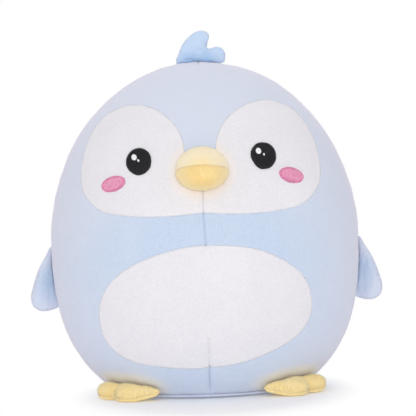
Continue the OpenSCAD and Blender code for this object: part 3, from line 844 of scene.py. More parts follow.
def vertexNormals(points, faces):
    a, b, c = (points[faces[:, k]] for k in range(3))
    n = np.cross(b - a, c - a)
    total = np.zeros_like(points)
    for k in range(3):
        np.add.at(total, faces[:, k], n)
    return total / np.maximum(np.linalg.norm(total, axis=1)[:, None], 1e-12)


settledOut = vertexNormals(settled, skinFaces)


def makeObject(name, points, faces, material, walls=0):
    # smooth all over, but for the last faces, which are the cut edges of a sheet
    mesh = newMesh(name, points, faces)
    mesh.polygons.foreach_set("use_smooth", [True] * (len(faces) - walls) + [False] * walls)
    mesh.materials.append(material)
    return addObject(name, mesh)


def thickened(points, faces, normals, thickness):
    # a closed fabric sheet: the outside, the inside, and a wall along every open edge
    n = len(points)
    turns = turnsOf(faces).tolist()
    there = set(map(tuple, turns))
    rim = [(a, b) for a, b in turns if (b, a) not in there]
    walls = [f for a, b in rim for f in ((b, a, a + n), (b, a + n, b + n))]
    return (np.vstack([points, points - normals * thickness]),
            np.vstack([faces, faces[:, ::-1] + n, np.array(walls, int).reshape(-1, 3)]), len(walls))


def region(number):
    ids, small = np.unique(skinFaces[allRegions == number], return_inverse=True)
    return ids, small.reshape(-1, 3)


def follow(piece, body, crossing):
    # rides on a body; a piece with a crossing is left on its own, its place baked into its mesh
    if crossing:
        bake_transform(piece)
    else:
        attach(piece, body)


def declare(node, piece, kind, body, crossing=None):
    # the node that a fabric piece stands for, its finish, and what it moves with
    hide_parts(node)
    follow(piece, body, crossing)
    pieces[node] = (piece, kind, body, crossing)


pieces = {}
panelLook = {     # the number of each panel in the skin, and its cloth
    "front_panel": (0, "blue"), "face_patch_left": (1, "white"), "face_patch_right": (2, "white"),
    "belly_patch": (3, "white"), "back_panel_left": (4, "blue"), "back_panel_right": (5, "blue"),
}
for node, (number, kind) in panelLook.items():
    ids, small = region(number)
    points, faces, walls = thickened(settled[ids], small, settledOut[ids], bodyShape["fabric"])
    declare(node, makeObject(camelName(node), points, faces, fabric[kind], walls), kind, "torso")
print("body panels made")


# small stuffed pieces

def joinPlaces(points, faces):
    # welds points that fall on one another and drops the faces that this closes up
    first, number = weld(points)
    faces = number[faces]
    sound = (faces[:, 0] != faces[:, 1]) & (faces[:, 1] != faces[:, 2]) & (faces[:, 2] != faces[:, 0])
    return points[first], faces[sound]


def gridFaces(rows, cols):
    at = np.arange(rows * cols).reshape(rows, cols)
    a, b, c, d = (q.reshape(-1) for q in (at[:-1, :-1], at[:-1, 1:], at[1:, 1:], at[1:, :-1]))
    return np.vstack([np.stack([a, b, c], 1), np.stack([a, c, d], 1)])


def softPiece(node, points, faces, kind, body, thickness=1.2 * mm, crossing=None):
    # a fabric piece of a stuffed part
    points, faces = joinPlaces(points, faces)
    walls = 0
    if thickness:
        points, faces, walls = thickened(points, faces, vertexNormals(points, faces), thickness)
    piece = makeObject(camelName(node), points, faces, fabric[kind], walls)
    declare(node, piece, kind, body, crossing)


def outlinePad(outline, step):
    # triangles inside a flat closed outline, each point's height when it is blown up (0 to 1), and the rim
    ring = evenly(np.vstack([outline, outline[:1]]), step * 0.9)[:-1]
    low, high = ring.min(0), ring.max(0)
    cols, rows = ((high - low) / step / (1, rowGap)).astype(int) + 1
    grid = low + triangleGrid(range(cols), range(rows), step)
    near = treeOf(ring)
    grid = clearOf(grid[inside(grid, ring)], near, 0.6 * step)
    n = len(ring)
    edges = [(i, (i + 1) % n) for i in range(n)]
    flat = [Vector(p) for p in np.vstack([ring, grid])]
    verts, _, faces, _, _, _ = delaunay_2d_cdt(flat, edges, [], 0, 1e-8, False)
    points, faces = np.array([tuple(v) for v in verts]), np.array([tuple(f) for f in faces])
    faces = faces[inside(points[faces].mean(axis=1), ring)]
    rim = np.array([near.find((q[0], q[1], 0))[2] < 1e-6 for q in points])
    height, sides = np.zeros(len(points)), sidesOf(faces)
    for _ in range(900):
        height = np.where(rim, 0, neighbourMean(height, sides) + 0.01)
    return points, faces, height / height.max(), rim


def plumped(halves, held, shrink=0.08, spread=12, cap=0.6 * mm):
    # two halves sewn together along the points they share, blown up as cloth
    points = np.vstack([half for half, _ in halves])
    faces = np.vstack([halves[0][1], halves[1][1] + len(halves[0][0])])
    first, number = weld(points)
    seam = (np.bincount(number) > 1).astype(float)
    kept = np.maximum(held[first], 0).astype(float)
    move = clothMove(points[first], number[faces], seam, kept, shrink, spread, cap)
    return np.split(points + move[number], [len(halves[0][0])])


def sewPair(nodes, halves, held, kind, body, thickness, crossing=None, **cloth):
    # two halves sewn together and stuffed, each of them a piece
    for node, points, (_, faces) in zip(nodes, plumped(halves, held, **cloth), halves):
        softPiece(node, points, faces, kind, body, thickness=thickness, crossing=crossing)


def bump(points, centre, size):
    d = (points - np.array(centre)) / np.array(size)
    return np.exp(-(d ** 2).sum(1))


# beak: two padded halves that meet along a stitched seam from corner to corner
beakLook = {"size": (41, 27, 34), "height": 181.5, "cornerDrop": 2.5, "seamAngle": 15, "standOff": 0.25,
            "groove": 0.45, "pucker": 0.12}


def onBeak(angle, along, swell=0):
    a, b, look = np.radians(angle), np.radians(along), beakLook
    tall = look["size"][2] / 2 + np.where(angle > 0, 1, -1) * look["cornerDrop"] + swell
    x = (look["size"][0] / 2 + swell) * np.sin(b) * mm
    z = (look["height"] - look["cornerDrop"] + tall * np.cos(b) * np.sin(a)) * mm
    out = (look["size"][1] + swell) * np.cos(b) * np.cos(a) * mm
    base = onFront(x, z)
    off = outward(base.reshape(-1, 3)).reshape(base.shape) * look["standOff"] * mm
    return base + off - out[..., None] * np.array([0, 1, 0])


def makeBeak():
    look = beakLook
    for node, kind, start, end in (("beak_upper", "paleYellow", look["seamAngle"], 90),
                                   ("beak_lower", "yellow", -90, look["seamAngle"])):
        along, angle = np.meshgrid(np.linspace(-89, 89, 72), np.linspace(start, end, 46))
        off = np.abs(angle - look["seamAngle"]) / 57.3 * look["size"][1] * np.cos(np.radians(along))
        swell = -look["groove"] * np.exp(-(off / 1.6) ** 2)
        # gathers where it is sewn to the face
        edge = np.clip(1 - np.abs(np.abs(angle) - 90) / 16, 0, 1)
        ripple = np.sin(np.radians(along) * 13 + 0.6)
        swell = swell + look["pucker"] * edge * ripple * np.cos(np.radians(along))
        points = onBeak(angle, along, swell).reshape(-1, 3)
        points[:, 1] += -0.35 * mm * lumps(points, 0.009, 5.2)
        softPiece(node, points, gridFaces(*angle.shape), kind, "torso")


makeBeak()
beakSeamAlong = np.linspace(-64, 64, 60)
beakSeam = onBeak(np.full(60, beakLook["seamAngle"]), beakSeamAlong, -0.3)
beakSeamOut = beakSeam - np.array([0, beakSeam[:, 1].max() + 12 * mm, 0.176])
beakSeamOut /= np.linalg.norm(beakSeamOut, axis=1)[:, None]
print("beak made")

# wings: flippers held along the side seams
wingLook = {
    "outline": [(-0.4, 121.5), (4.6, 115), (10, 106.5), (14, 97), (16.6, 89), (18.6, 80.5), (16.6, 72.6),
                (9.5, 68.4), (2, 69.4), (-5.2, 72.4), (-4, 77), (-2.4, 86), (-0.9, 104)],
    "half": 6.0, "edge": 0.35, "step": 1.3, "standOff": 0.9,
    "dents": [((3.5, 101), (2.6, 5.0), 1.5), ((5.0, 77), (3.0, 4.0), 1.3), ((11, 92), (3.0, 7.0), -0.4)],
}


def makeWings():
    look = wingLook
    flat, faces, height, rim = outlinePad(smoothLine(look["outline"], 8, closed=True), look["step"])
    puff = look["edge"] + (look["half"] - look["edge"]) * height ** 0.55
    for centre, size, depth in look["dents"]:
        puff = puff - depth * bump(flat, centre, size) * height
    puff = np.minimum(puff, look["edge"] + 0.42 * np.maximum(flat[:, 0] + 3, 0))
    puff = np.where(rim, 0, puff) * mm
    for side, label in bothSides:
        x = side * (halfW + (flat[:, 0] + look["standOff"]) * mm)
        halves = []
        for half, turn in ((-1, side), (1, -side)):
            ruffle = 0.3 * mm * lumps(np.stack([x, flat[:, 1] * mm, puff], 1), 0.008, 2.0 + half) * (~rim)
            points = np.stack([x, half * (puff + ruffle), flat[:, 1] * mm], 1)
            halves.append((points, faces if turn > 0 else faces[:, ::-1]))
        crossing = ((side * (halfW + 0.5 * mm), 0, 0.1), (side * (halfW + 6 * mm), 0, 0.1))
        sewPair(("wing_front_" + label, "wing_back_" + label), halves, np.tile(flat[:, 0] < 2, 2),
                "wing", "wing_" + label, 0.9 * mm, crossing=crossing)


makeWings()
print("wings made")

# tuft: a tall lobe and a short one, held in the seam over the crown
tuftLook = {
    "outline": [(-18.4, 270), (-17.4, 276), (-12.2, 287), (-4, 294.6), (3, 296.8), (8.6, 294.8),
                (10, 290.4), (8, 285.6), (7.4, 281.4), (11.5, 281.9), (15.8, 282.9), (20.6, 281),
                (22.8, 276.2), (21.6, 270)],
    "half": 4.6, "edge": 0.3, "step": 1.1,
    "dents": [((6.5, 277.5), (1.6, 4.5), 0.4), ((-7, 272), (5.0, 2.2), 0.45),
              ((15, 273.5), (2.2, 2.6), 0.2)],
}


def makeTuft():
    look, crown = tuftLook, bodyShape["crown"]
    crownLine = [(x, 1000 * (widest + rise * math.sqrt(1 - (x * mm / halfW) ** 2)) - 0.4)
                 for x in (18, 12, 4, -4, -12, -16)]
    outline = np.vstack([smoothLine(look["outline"], 10), crownLine])
    flat, faces, height, rim = outlinePad(outline, look["step"])
    puff = look["edge"] + (look["half"] - look["edge"]) * height ** 0.5
    for centre, size, depth in look["dents"]:
        puff = puff * (1 - depth * bump(flat, centre, size))
    above = flat[:, 1] - 1000 * crown
    puff = np.minimum(np.maximum(puff, 0.2), look["edge"] + 1.5 * np.maximum(above, 0) + 1.2)
    puff = np.where(rim, 0, puff) * mm
    halves = []
    for half in (-1, 1):
        smooth = np.stack([flat[:, 0] * mm, puff, flat[:, 1] * mm], 1)
        ruffle = 0.25 * mm * lumps(smooth, 0.006, 6.0 + half) * (~rim)
        points = np.stack([flat[:, 0] * mm, half * (puff + ruffle), flat[:, 1] * mm], 1)
        halves.append((points, faces if half < 0 else faces[:, ::-1]))
    sewPair(("tuft_front", "tuft_back"), halves, np.tile(flat[:, 1] < 1000 * crown + 1.5, 2),
            "tuft", "tuft", 0.9 * mm,
            crossing=((0, 0, crown - 0.5 * mm), (0, 0, crown + 5 * mm)))


makeTuft()
print("tuft made")

# feet: two toes each, held at the heel by the base seam
footLook = {
    "outline": [(-25.5, 6.5), (-21, 13), (-14, 20), (-5, 26), (3, 25.5), (8, 21.5), (11, 21), (17, 23.8),
                (24, 23.5), (30.5, 17), (28.5, 8), (19, 3.8), (0, 2.4)],
    # where the toes turn, how far up, and what they keep from the body then
    "hinge": (5.9, 1.5), "lift": 7, "clear": 2.1,
    "turn": 39, "height": 14.5, "full": 0.4, "rim": 2.2, "sole": 0.4, "step": 1.0, "bulge": 1.7,
    "across": {"left": 2.3, "right": -0.4},
    # where the front toe lies over the rear one
    "fold": [(10.2, 23), (8.8, 18.5), (5.5, 15.2), (0, 12.8), (-6, 11.6)], "foldDepth": (6.5, 3.2, 0.8),
    "tips": [(-12, -1, 0.3), (15, 1, 0.16)],      # where each end starts to lift, its side, and how steeply
}


def underSkin(x, y):
    # the height of the finished skin over places on the floor
    near = [underTree.find_n((a, b, 0), 3) for a, b in zip(x, y)]
    weight = np.array([[1 / (d + 0.2 * mm) for _, _, d in found] for found in near])
    return (weight * underPoints[[[k for _, k, _ in found] for found in near], 2]).sum(1) / weight.sum(1)


underPoints = settled[(settled[:, 2] < 0.06) & (settled[:, 1] < 0)]
underTree = treeOf(underPoints[:, :2])


def foldDepth(flat):
    # how deep each point is drawn in along the fold where the front toe lies over the rear one
    look = footLook
    fold = evenly(smoothLine(look["fold"], 8), 0.2)
    beside = treeOf(fold)
    found = [beside.find((q[0], q[1], 0)) for q in flat]
    at, far = np.array([f[1] for f in found]), np.array([f[2] for f in found])
    way = np.gradient(fold, axis=0)[at]
    rear = (flat - fold[at])[:, 0] * way[:, 1] - (flat - fold[at])[:, 1] * way[:, 0] < 0
    depth = np.interp(at, np.array([0, 0.35, 1]) * (len(fold) - 1), look["foldDepth"])
    return depth * np.where(rear, 0.7 * np.exp(-(far / 1.3) ** 2) + 0.3 * np.exp(-(far / 4.5) ** 2),
                            np.exp(-(far / 1.0) ** 2) - 0.14 * np.exp(-((far - 4) / 3) ** 2))


def onFloor(flat, label):
    # the foot's own plan moved to the heel seam and turned, clockwise from above
    t = math.radians(footLook["turn"])
    c, s = math.cos(t), math.sin(t)
    turned = flat[:, :1] * np.array([c, s]) + flat[:, 1:] * np.array([s, -c])
    heel = np.array([halfW, -halfD]) * hemShare * math.sqrt(0.5)
    return heel + turned * mm + [footLook["across"][label] * mm, 0]


def toeRoom(flat, plan, side):
    # the highest that each point may lie and still clear the body with the toes up
    look = footLook
    t, lift, (hingeAt, hingeUp) = math.radians(look["turn"]), math.radians(look["lift"]), look["hinge"]
    arm, room = flat[:, 1] - hingeAt, np.full(len(flat), look["height"])
    for _ in range(5):
        back = ((room - hingeUp) * math.sin(lift) + arm * (1 - math.cos(lift))) * mm
        above = underSkin(side * (plan[:, 0] - back * math.sin(t)), plan[:, 1] + back * math.cos(t))
        room = (above / mm - arm * math.sin(lift) - hingeUp - look["clear"]) / math.cos(lift) + hingeUp
    return room


def makeFeet():
    look, edge = footLook, footLook["rim"]
    flat, faces, height, rim = outlinePad(smoothLine(look["outline"], 8, closed=True), look["step"])
    border = treeOf(flat[rim])
    nearest = flat[rim][[border.find((q[0], q[1], 0))[1] for q in flat]] - flat
    nearest = nearest / np.maximum(np.linalg.norm(nearest, axis=1)[:, None], 1e-6)
    rise = height ** look["full"] * (1 - foldDepth(flat) / look["height"])
    # toes swell past their seam
    spread = flat + nearest * (look["bulge"] * np.sin(math.pi * rise) * (1 - rise))[:, None]
    tip = sum(np.clip((flat[:, 0] - start) * way, 0, None) * steep for start, way, steep in look["tips"])
    under = tip + look["sole"] + (edge - look["sole"]) * np.clip(1 - height * 9, 0, 1) ** 2
    for side, label in bothSides:
        plan = onFloor(spread, label)
        top = edge + (look["height"] - edge) * rise
        top = np.where(rim, edge, top + 0.4 * lumps(np.column_stack([plan, top * mm]), 0.009, 4.4 + side))
        top = np.minimum(top + tip, np.maximum(toeRoom(flat, plan, side), 1.4))
        low = np.where(rim, top, np.minimum(under, top - 0.6))
        halves = []
        for at, z, up in ((plan, top, 1), (onFloor(flat, label), low, -1)):
            points = np.column_stack([at[:, 0] * side, at[:, 1], z * mm])
            halves.append((points, faces[:, ::-1] if up * side > 0 else faces))
        held = np.concatenate([flat[:, 1] < 6, flat[:, 1] < 100])     # heel and sole stay put
        sewPair(("foot_top_" + label, "foot_sole_" + label), halves, held, "foot", "foot_" + label,
                0.7 * mm, cap=0.5 * mm)


makeFeet()
print("feet made")

# base: the panel that closes the body underneath, with a narrow rounded edge
baseLook = {
    "rings": [(0.05, 3.0), (0.6, 3.0), (0.95, 3.1), (0.985, 3.3), (1.0, 3.25), (1.006, 3.0),     # share of
              (1.01, 2.5), (1.009, 2.0), (1.003, 1.7), (0.985, 1.4), (0.94, 1.2), (0.88, 1.0),   # the hem,
              (0.84, 0.3), (0.83, 0.0), (0.6, 0.2), (0.05, 0.3)],                                # and height
    "puckers": 46, "pucker": 0.25,
}


def makeBase():
    look, count = baseLook, 240
    turn = np.linspace(0, 2 * math.pi, count + 1)
    ruffle = 1 + look["pucker"] * mm / halfD * np.sin(turn * look["puckers"]) * np.sin(turn * 7 + 1)
    points = []
    for share, z in look["rings"]:
        wide, deep = hemShare * halfW * share, hemShare * halfD * share
        edge = ruffle if 0.97 < share else ruffle * 0 + 1
        points.append([(wide * r * math.cos(a), deep * r * math.sin(a), z * mm)
                       for a, r in zip(turn, edge)])
    points = np.array(points)
    faces = gridFaces(*points.shape[:2])
    flat = points.reshape(-1, 3)
    caps = []
    for row, up in ((0, True), (len(look["rings"]) - 1, False)):
        centre = len(flat)
        flat = np.vstack([flat, [[0, 0, look["rings"][row][1] * mm]]])
        for a in range(row * (count + 1), row * (count + 1) + count):
            caps.append((centre, a, a + 1) if up else (centre, a + 1, a))
    faces = np.vstack([faces[:, ::-1], np.array(caps)])
    softPiece("base_panel", flat, faces, "base", "torso", thickness=0)


makeBase()
print("base made")


# geometry node trees: thread runs, rows of stitches, pile

def finishTree(tree, geometry, material, out):
    real = result(tree, "GeometryNodeRealizeInstances", {0: geometry})
    smooth = result(tree, "GeometryNodeSetShadeSmooth", {0: real})
    done = result(tree, "GeometryNodeSetMaterial", {"Geometry": smooth, "Material": material})
    feed(tree, out, {0: done})
    return tree


def randomIn(tree, low, high, seed):
    return put(tree, "FunctionNodeRandomValue", {2: low, 3: high, "Seed": seed},
               data_type="FLOAT").outputs[1]


def makeThreadRun():
    tree, given, out = newTree("GeometryNodeTree", "threadRun", {
        "Geometry": "Geometry", "Radius": 0.0002, "Sides": 5, "Material": "Material"},
        {"Geometry": "Geometry"})
    curve = result(tree, "GeometryNodeMeshToCurve", {0: given["Geometry"]})
    ring = result(tree, "GeometryNodeCurvePrimitiveCircle",
                  {"Resolution": given["Sides"], "Radius": given["Radius"]})
    tube = result(tree, "GeometryNodeCurveToMesh",
                  {"Curve": curve, "Profile Curve": ring, "Fill Caps": True})
    return finishTree(tree, tube, given["Material"], out)


def makeStitchRow():
    tree, given, out = newTree("GeometryNodeTree", "stitchRow", {
        "Geometry": "Geometry", "Pitch": 0.0022, "Length": 0.0015, "Radius": 0.0002, "Turn": 0.0,
        "Loose": 0.12, "Lift": 0.0, "Uneven": 0.0, "Segments": 6, "Seed": 1, "Material": "Material"},
        {"Geometry": "Geometry"})
    curve = result(tree, "GeometryNodeMeshToCurve", {0: given["Geometry"]})
    row = result(tree, "GeometryNodeResampleCurve", {"Curve": curve, "Length": given["Pitch"]},
                 mode="LENGTH")
    up = result(tree, "GeometryNodeInputNamedAttribute", {"Name": "outward"}, data_type="FLOAT_VECTOR")
    lift = result(tree, "ShaderNodeVectorMath", {0: up, "Scale": given["Lift"]}, operation="SCALE")
    row = result(tree, "GeometryNodeSetPosition", {"Geometry": row, "Offset": lift})
    along = result(tree, "GeometryNodeInputTangent")
    aim = result(tree, "FunctionNodeAxesToRotation", {"Primary Axis": up, "Secondary Axis": along},
                 primary_axis="Z", secondary_axis="X")
    loose = randomIn(tree, maths(tree, "MULTIPLY", given["Loose"], -1.0), given["Loose"], given["Seed"])
    share = randomIn(tree, maths(tree, "SUBTRACT", 1.0, given["Uneven"]), 1.0, 21)
    angle = maths(tree, "ADD", given["Turn"], loose)
    swing = result(tree, "FunctionNodeAxisAngleToRotation", {"Axis": (0, 0, 1), "Angle": angle})
    aim = result(tree, "FunctionNodeRotateRotation", {0: aim, 1: swing}, rotation_space="LOCAL")
    half = maths(tree, "MULTIPLY", maths(tree, "MULTIPLY", given["Length"], share), 0.5)
    size = result(tree, "ShaderNodeCombineXYZ", {0: half, 1: given["Radius"], 2: given["Radius"]})
    bead = result(tree, "GeometryNodeMeshUVSphere",
                  {"Segments": given["Segments"], "Rings": 4, "Radius": 1.0})
    laid = result(tree, "GeometryNodeInstanceOnPoints",
                  {"Points": row, "Instance": bead, "Rotation": aim, "Scale": size})
    return finishTree(tree, laid, given["Material"], out)


def makePileFibres():
    tree, given, out = newTree("GeometryNodeTree", "pileFibres", {
        "Geometry": "Geometry", "Density": 200000.0, "Length": 0.0012, "Thickness": 0.00009, "Lean": 0.6,
        "Seed": 1, "Material": "Material"},
        {"Geometry": "Geometry"})
    spread = put(tree, "GeometryNodeDistributePointsOnFaces",
                 {"Mesh": given["Geometry"], "Density": given["Density"], "Seed": given["Seed"]},
                 distribute_method="RANDOM").outputs
    fibre = result(tree, "GeometryNodeMeshCone",
                   {"Vertices": 3, "Radius Bottom": given["Thickness"], "Depth": given["Length"]})
    low = maths(tree, "MULTIPLY", given["Lean"], -1.0)
    tilt = [randomIn(tree, low, given["Lean"], seed) for seed in (11, 12)]
    lean = result(tree, "ShaderNodeCombineXYZ", {0: tilt[0], 1: tilt[1], 2: randomIn(tree, 0.0, 6.28, 13)})
    turn = result(tree, "FunctionNodeEulerToRotation", {0: lean})
    aim = result(tree, "FunctionNodeRotateRotation", {0: spread["Rotation"], 1: turn},
                 rotation_space="LOCAL")
    laid = result(tree, "GeometryNodeInstanceOnPoints",
                  {"Points": spread["Points"], "Instance": fibre, "Rotation": aim,
                  "Scale": randomIn(tree, 0.55, 1.15, 14)})
    return finishTree(tree, laid, given["Material"], out)


threadRun, stitchRow, pileFibres = makeThreadRun(), makeStitchRow(), makePileFibres()


def grown(name, guide, tree, values):
    # runs a node tree on the guide mesh and returns the result as a plain mesh object
    carrier = addObject(name, guide)
    modifier = carrier.modifiers.new(name, "NODES")
    modifier.node_group = tree
    for item in tree.interface.items_tree:
        if item.item_type == "SOCKET" and item.in_out == "INPUT" and item.name in values:
            modifier[item.identifier] = values[item.name]
    mesh = bakedMesh(carrier)
    mesh.name = name
    return addObject(name, mesh)


def guideMesh(runs, normals=None):
    # polylines as edges, with the outward direction on each point
    points, edges = [], []
    for run in runs:
        start = len(points)
        points += [tuple(p) for p in run]
        edges += [(i, i + 1) for i in range(start, len(points) - 1)]
    mesh = newMesh("guide", points, [], edges)
    if normals is not None:
        flat = np.concatenate([np.asarray(n, np.float32) for n in normals])
        mesh.attributes.new("outward", "FLOAT_VECTOR", "POINT").data.foreach_set("vector", flat.reshape(-1))
    return mesh


def joined(name, objects):
    # several plain mesh objects as one
    with bpy.context.temp_override(active_object=objects[0], selected_editable_objects=objects):
        bpy.ops.object.join()
    objects[0].name = name
    return objects[0]


# embroidery: domed pads of satin stitch inside a satin border

stitchLook = {
    "pitch": 0.46, "radius": 0.27,                              # from thread to thread, and of a thread
    "longest": 6, "arch": (-0.16, 0.04, 0.08, 0.04, -0.16),     # run of a stitch, and how it rises along it
    "border": 1.25, "borderPitch": 0.5, "ragged": 0.22,
    "eye": {"left": (47.9, 189.9), "right": (-48.7, 188.7), "size": (19.5, 20.8), "lean": 16, "run": 62,
            "lift": 1.05},
    "cheek": {"left": (69.4, 174), "right": (-69.3, 172.1), "size": (19.3, 11.4), "lean": -16, "run": 20,
              "lift": 0.8},
    # place in the eye, and size
    "lights": {"left": [((-4.1, 3.2), (4.1, 4.8)), ((0, 0.5), (1.5, 2.0))],
               "right": [((-3, 3), (4.1, 4.9)), ((0.3, 0.3), (1.5, 2.2))]},
    # angle, share of the radius, spread
    "flats": {"eyeLeft": [(196, 0.07, 22), (70, 0.03, 15)],
              "eyeRight": [(250, 0.04, 20), (20, 0.03, 16)]},
}


def overFace(flat, lift):
    points = onFront(flat[:, 0] * mm, flat[:, 1] * mm)
    return points + outward(points) * (np.asarray(lift) * mm)[:, None]


def satinRows(a, b, angle, picker):
    # the threads that fill an oval, five points on each
    c, s = math.cos(angle), math.sin(angle)
    along, across = np.array([c, s]), np.array([-s, c])
    reach = math.hypot(a * across[0], b * across[1])
    rows = []
    for t in np.arange(-reach + 0.25, reach - 0.1, stitchLook["pitch"]):
        qa = (along[0] / a) ** 2 + (along[1] / b) ** 2
        qb = 2 * t * (along[0] * across[0] / a ** 2 + along[1] * across[1] / b ** 2)
        qc = t * t * ((across[0] / a) ** 2 + (across[1] / b) ** 2) - 1
        root = math.sqrt(max(0, qb * qb - 4 * qa * qc))
        lo, hi = (-qb - root) / 2 / qa, (-qb + root) / 2 / qa
        if hi - lo < 0.3:
            continue
        # long rows are stitched in shorter runs
        count = max(1, int(round((hi - lo) / stitchLook["longest"])))
        cuts = [lo + (hi - lo) * (k + picker.uniform(-0.25, 0.25)) / count for k in range(1, count)]
        cuts = sorted([lo, hi] + cuts)
        for u, v in zip(cuts, cuts[1:]):
            rows.append(np.array([along * w + across * t for w in np.linspace(u, v, 5)]))
    return rows


def satinRim(a, b, picker):
    # the short threads across the edge of an oval, five points on each from the inside outwards
    look, rim = stitchLook, []
    count = int(2 * math.pi * math.sqrt((a * a + b * b) / 2) / look["borderPitch"])
    for k in range(count):
        w = 2 * math.pi * k / count
        edge = np.array([a * math.cos(w), b * math.sin(w)])
        way = np.array([math.cos(w) / a, math.sin(w) / b])
        way = way / np.linalg.norm(way)
        end = 0.1 + picker.uniform(-1, 1) * look["ragged"]
        inner = [edge - way * look["border"] * g for g in (1.2, 0.85, 0.45, 0.1)]
        rim.append(np.array(inner + [edge + way * end]))
    return rim


def satinPad(name, place, size, lean, run, lift, material, base=0.25, border=None):
    # a domed pad and its threads, laid out flat in millimetres and then put on the face
    look, (a, b) = stitchLook, (size[0] / 2, size[1] / 2)
    c, s = math.cos(math.radians(lean)), math.sin(math.radians(lean))

    def onFace(q, up):
        at = np.degrees(np.arctan2(q[:, 1], q[:, 0]))
        for angle, share, spread in look["flats"].get(name, []):
            q = q * (1 - share * np.exp(-(((at - angle + 180) % 360 - 180) / spread) ** 2))[:, None]
        x, z = place[0] + q[:, 0] * c - q[:, 1] * s, place[1] + q[:, 0] * s + q[:, 1] * c
        return overFace(np.stack([x, z], 1), up)

    def dome(q):
        share = 1 - 0.75 * (q[:, 0] / a) ** 2 - 0.75 * (q[:, 1] / b) ** 2
        return base + lift * np.sqrt(np.clip(share, 0, 1))

    rows, cols = np.meshgrid(np.linspace(0, 1, 12), np.linspace(0, 2 * math.pi, 61))
    pad = np.stack([a * 0.97 * rows * np.cos(cols), b * 0.97 * rows * np.sin(cols)], -1).reshape(-1, 2)
    points, faces = joinPlaces(onFace(pad, dome(pad) - 0.25), gridFaces(*rows.shape))
    normals = vertexNormals(points, faces)
    if (normals * outward(points)).sum() < 0:
        faces, normals = faces[:, ::-1], -normals
    points, faces, walls = thickened(points, faces, normals, 0.3 * mm)
    parts = [makeObject(name, points, faces, material, walls=walls)]
    inset = look["border"] * 0.75 if border else 0.1
    picker = random.Random(len(name) * 7 + 1)
    fill = satinRows(a - inset, b - inset, math.radians(run - lean), picker)
    runs, rims = [onFace(q, dome(q) + look["arch"]) for q in fill], []
    for q in satinRim(a, b, picker) if border else []:
        high = dome(q)
        rims.append(onFace(q, [high[0] - 0.15, high[1] + 0.3, base + lift * 0.75, base + lift * 0.4, 0.0]))
    for part, lines, ply in (("Threads", runs, material), ("Rim", rims, border)):
        if lines:
            values = {"Radius": look["radius"] * mm, "Sides": 5, "Material": ply}
            parts.append(grown(name + part, guideMesh(lines), threadRun, values))
    return joined(name, parts)


def embroidered(part, label, side, ply):
    look = stitchLook[part]
    return satinPad(part + label.capitalize(), look[label], look["size"], side * look["lean"],
                    side * look["run"], look["lift"], thread[ply], border=thread[ply + "Rim"])


for side, label in bothSides:
    x, z = stitchLook["eye"][label]
    lights = [satinPad("light", (x + at[0], z + at[1]), size, 24, 62, 0.45, thread["white"],
                       base=stitchLook["eye"]["lift"] + 0.3) for at, size in stitchLook["lights"][label]]
    eye, cheek = embroidered("eye", label, side, "black"), embroidered("cheek", label, side, "pink")
    shine = joined("eyeLights" + label.capitalize(), lights)
    for piece, node, slotName in ((eye, "eye_", "black_thread"), (shine, "eye_highlights_", "white_thread"),
                                  (cheek, "cheek_", "pink_thread")):
        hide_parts(node + label)
        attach(piece, "torso")
print("embroidery made")


# seams: rows of stitches sunk in the dips

seamStitchLook = {   # seams, thread, pitch, length, turn in degrees
    "bodySeams": (["sideLeft", "sideRight", "spine", "chest", "under"], "blueSeam", 2.3, 1.5, 0),
    "patchSeams": (["nose"], "whiteSeam", 1.5, 1.0, 62),
    "hemSeams": (["hemFront", "hemBack"], "hemSeam", 3.0, 1.7, 0),
}
skinTree = treeOf(settled)
skinDepth = ((settled - skinPoints) * skinOut).sum(1)


def onFabric(line):
    # the same line lying on the finished fabric, and which way is out
    out = outward(line)
    near = [[i for _, i, _ in skinTree.find_n(Vector(p), 3)] for p in line]
    depth = np.array([np.mean([skinDepth[i] for i in found]) for found in near])
    return line + out * depth[:, None], out


def stitched(name, lines, spacing, values):
    # stitches along some seams, on the finished fabric
    laid = [onFabric(evenly(seams[line], spacing)) for line in lines]
    return grown(name, guideMesh([a for a, _ in laid], [b for _, b in laid]), stitchRow, values)


for name, (lines, kind, pitch, length, turn) in seamStitchLook.items():
    row = stitched(name, lines, 1.5 * mm, {"Pitch": pitch * mm, "Length": length * mm, "Radius": 0.2 * mm,
                   "Turn": math.radians(turn), "Seed": 5, "Material": thread[kind]})
    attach(row, "torso")
beakRow = grown("beakSeam", guideMesh([beakSeam], [beakSeamOut]), stitchRow, {
    "Pitch": 2.2 * mm, "Length": 1.3 * mm, "Radius": 0.2 * mm, "Seed": 6, "Material": thread["yellowSeam"]})
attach(beakRow, "torso")
print("seams stitched")


# pile: short fibres over the fabric, and a comb of them where two colours meet

pileLook = {   # density per square millimetre, length, thickness and lean of the fibres
    "torso": (0.4, 0.9, 0.045, 1.0), "beak": (1.3, 1.0, 0.05, 1.0), "limb": (1.2, 0.9, 0.045, 1.0),
    "foot": (3.4, 1.2, 0.055, 1.0),
    "comb": {"pitch": 0.2, "length": 1.7, "radius": 0.05, "lift": 0.04, "loose": 0.5, "uneven": 0.6},
}


def outerMesh(piece):
    # the outer side of a fabric piece, on which its pile grows
    points = coordsOf(piece.data)
    outer = len(points) // 2
    faces = [f.vertices for f in piece.data.polygons if max(f.vertices) < outer]
    return newMesh("pileGround", points[:outer], faces)


def growPile(node, look, seed):
    piece, kind, body, crossing = pieces[node]
    density, length, thickness, lean = look
    pile = grown(camelName(node) + "Pile", outerMesh(piece), pileFibres, {
        "Density": density * 1e6, "Length": length * mm, "Thickness": thickness * mm, "Lean": lean,
        "Seed": seed, "Material": fibre[kind]})
    follow(pile, body, crossing)


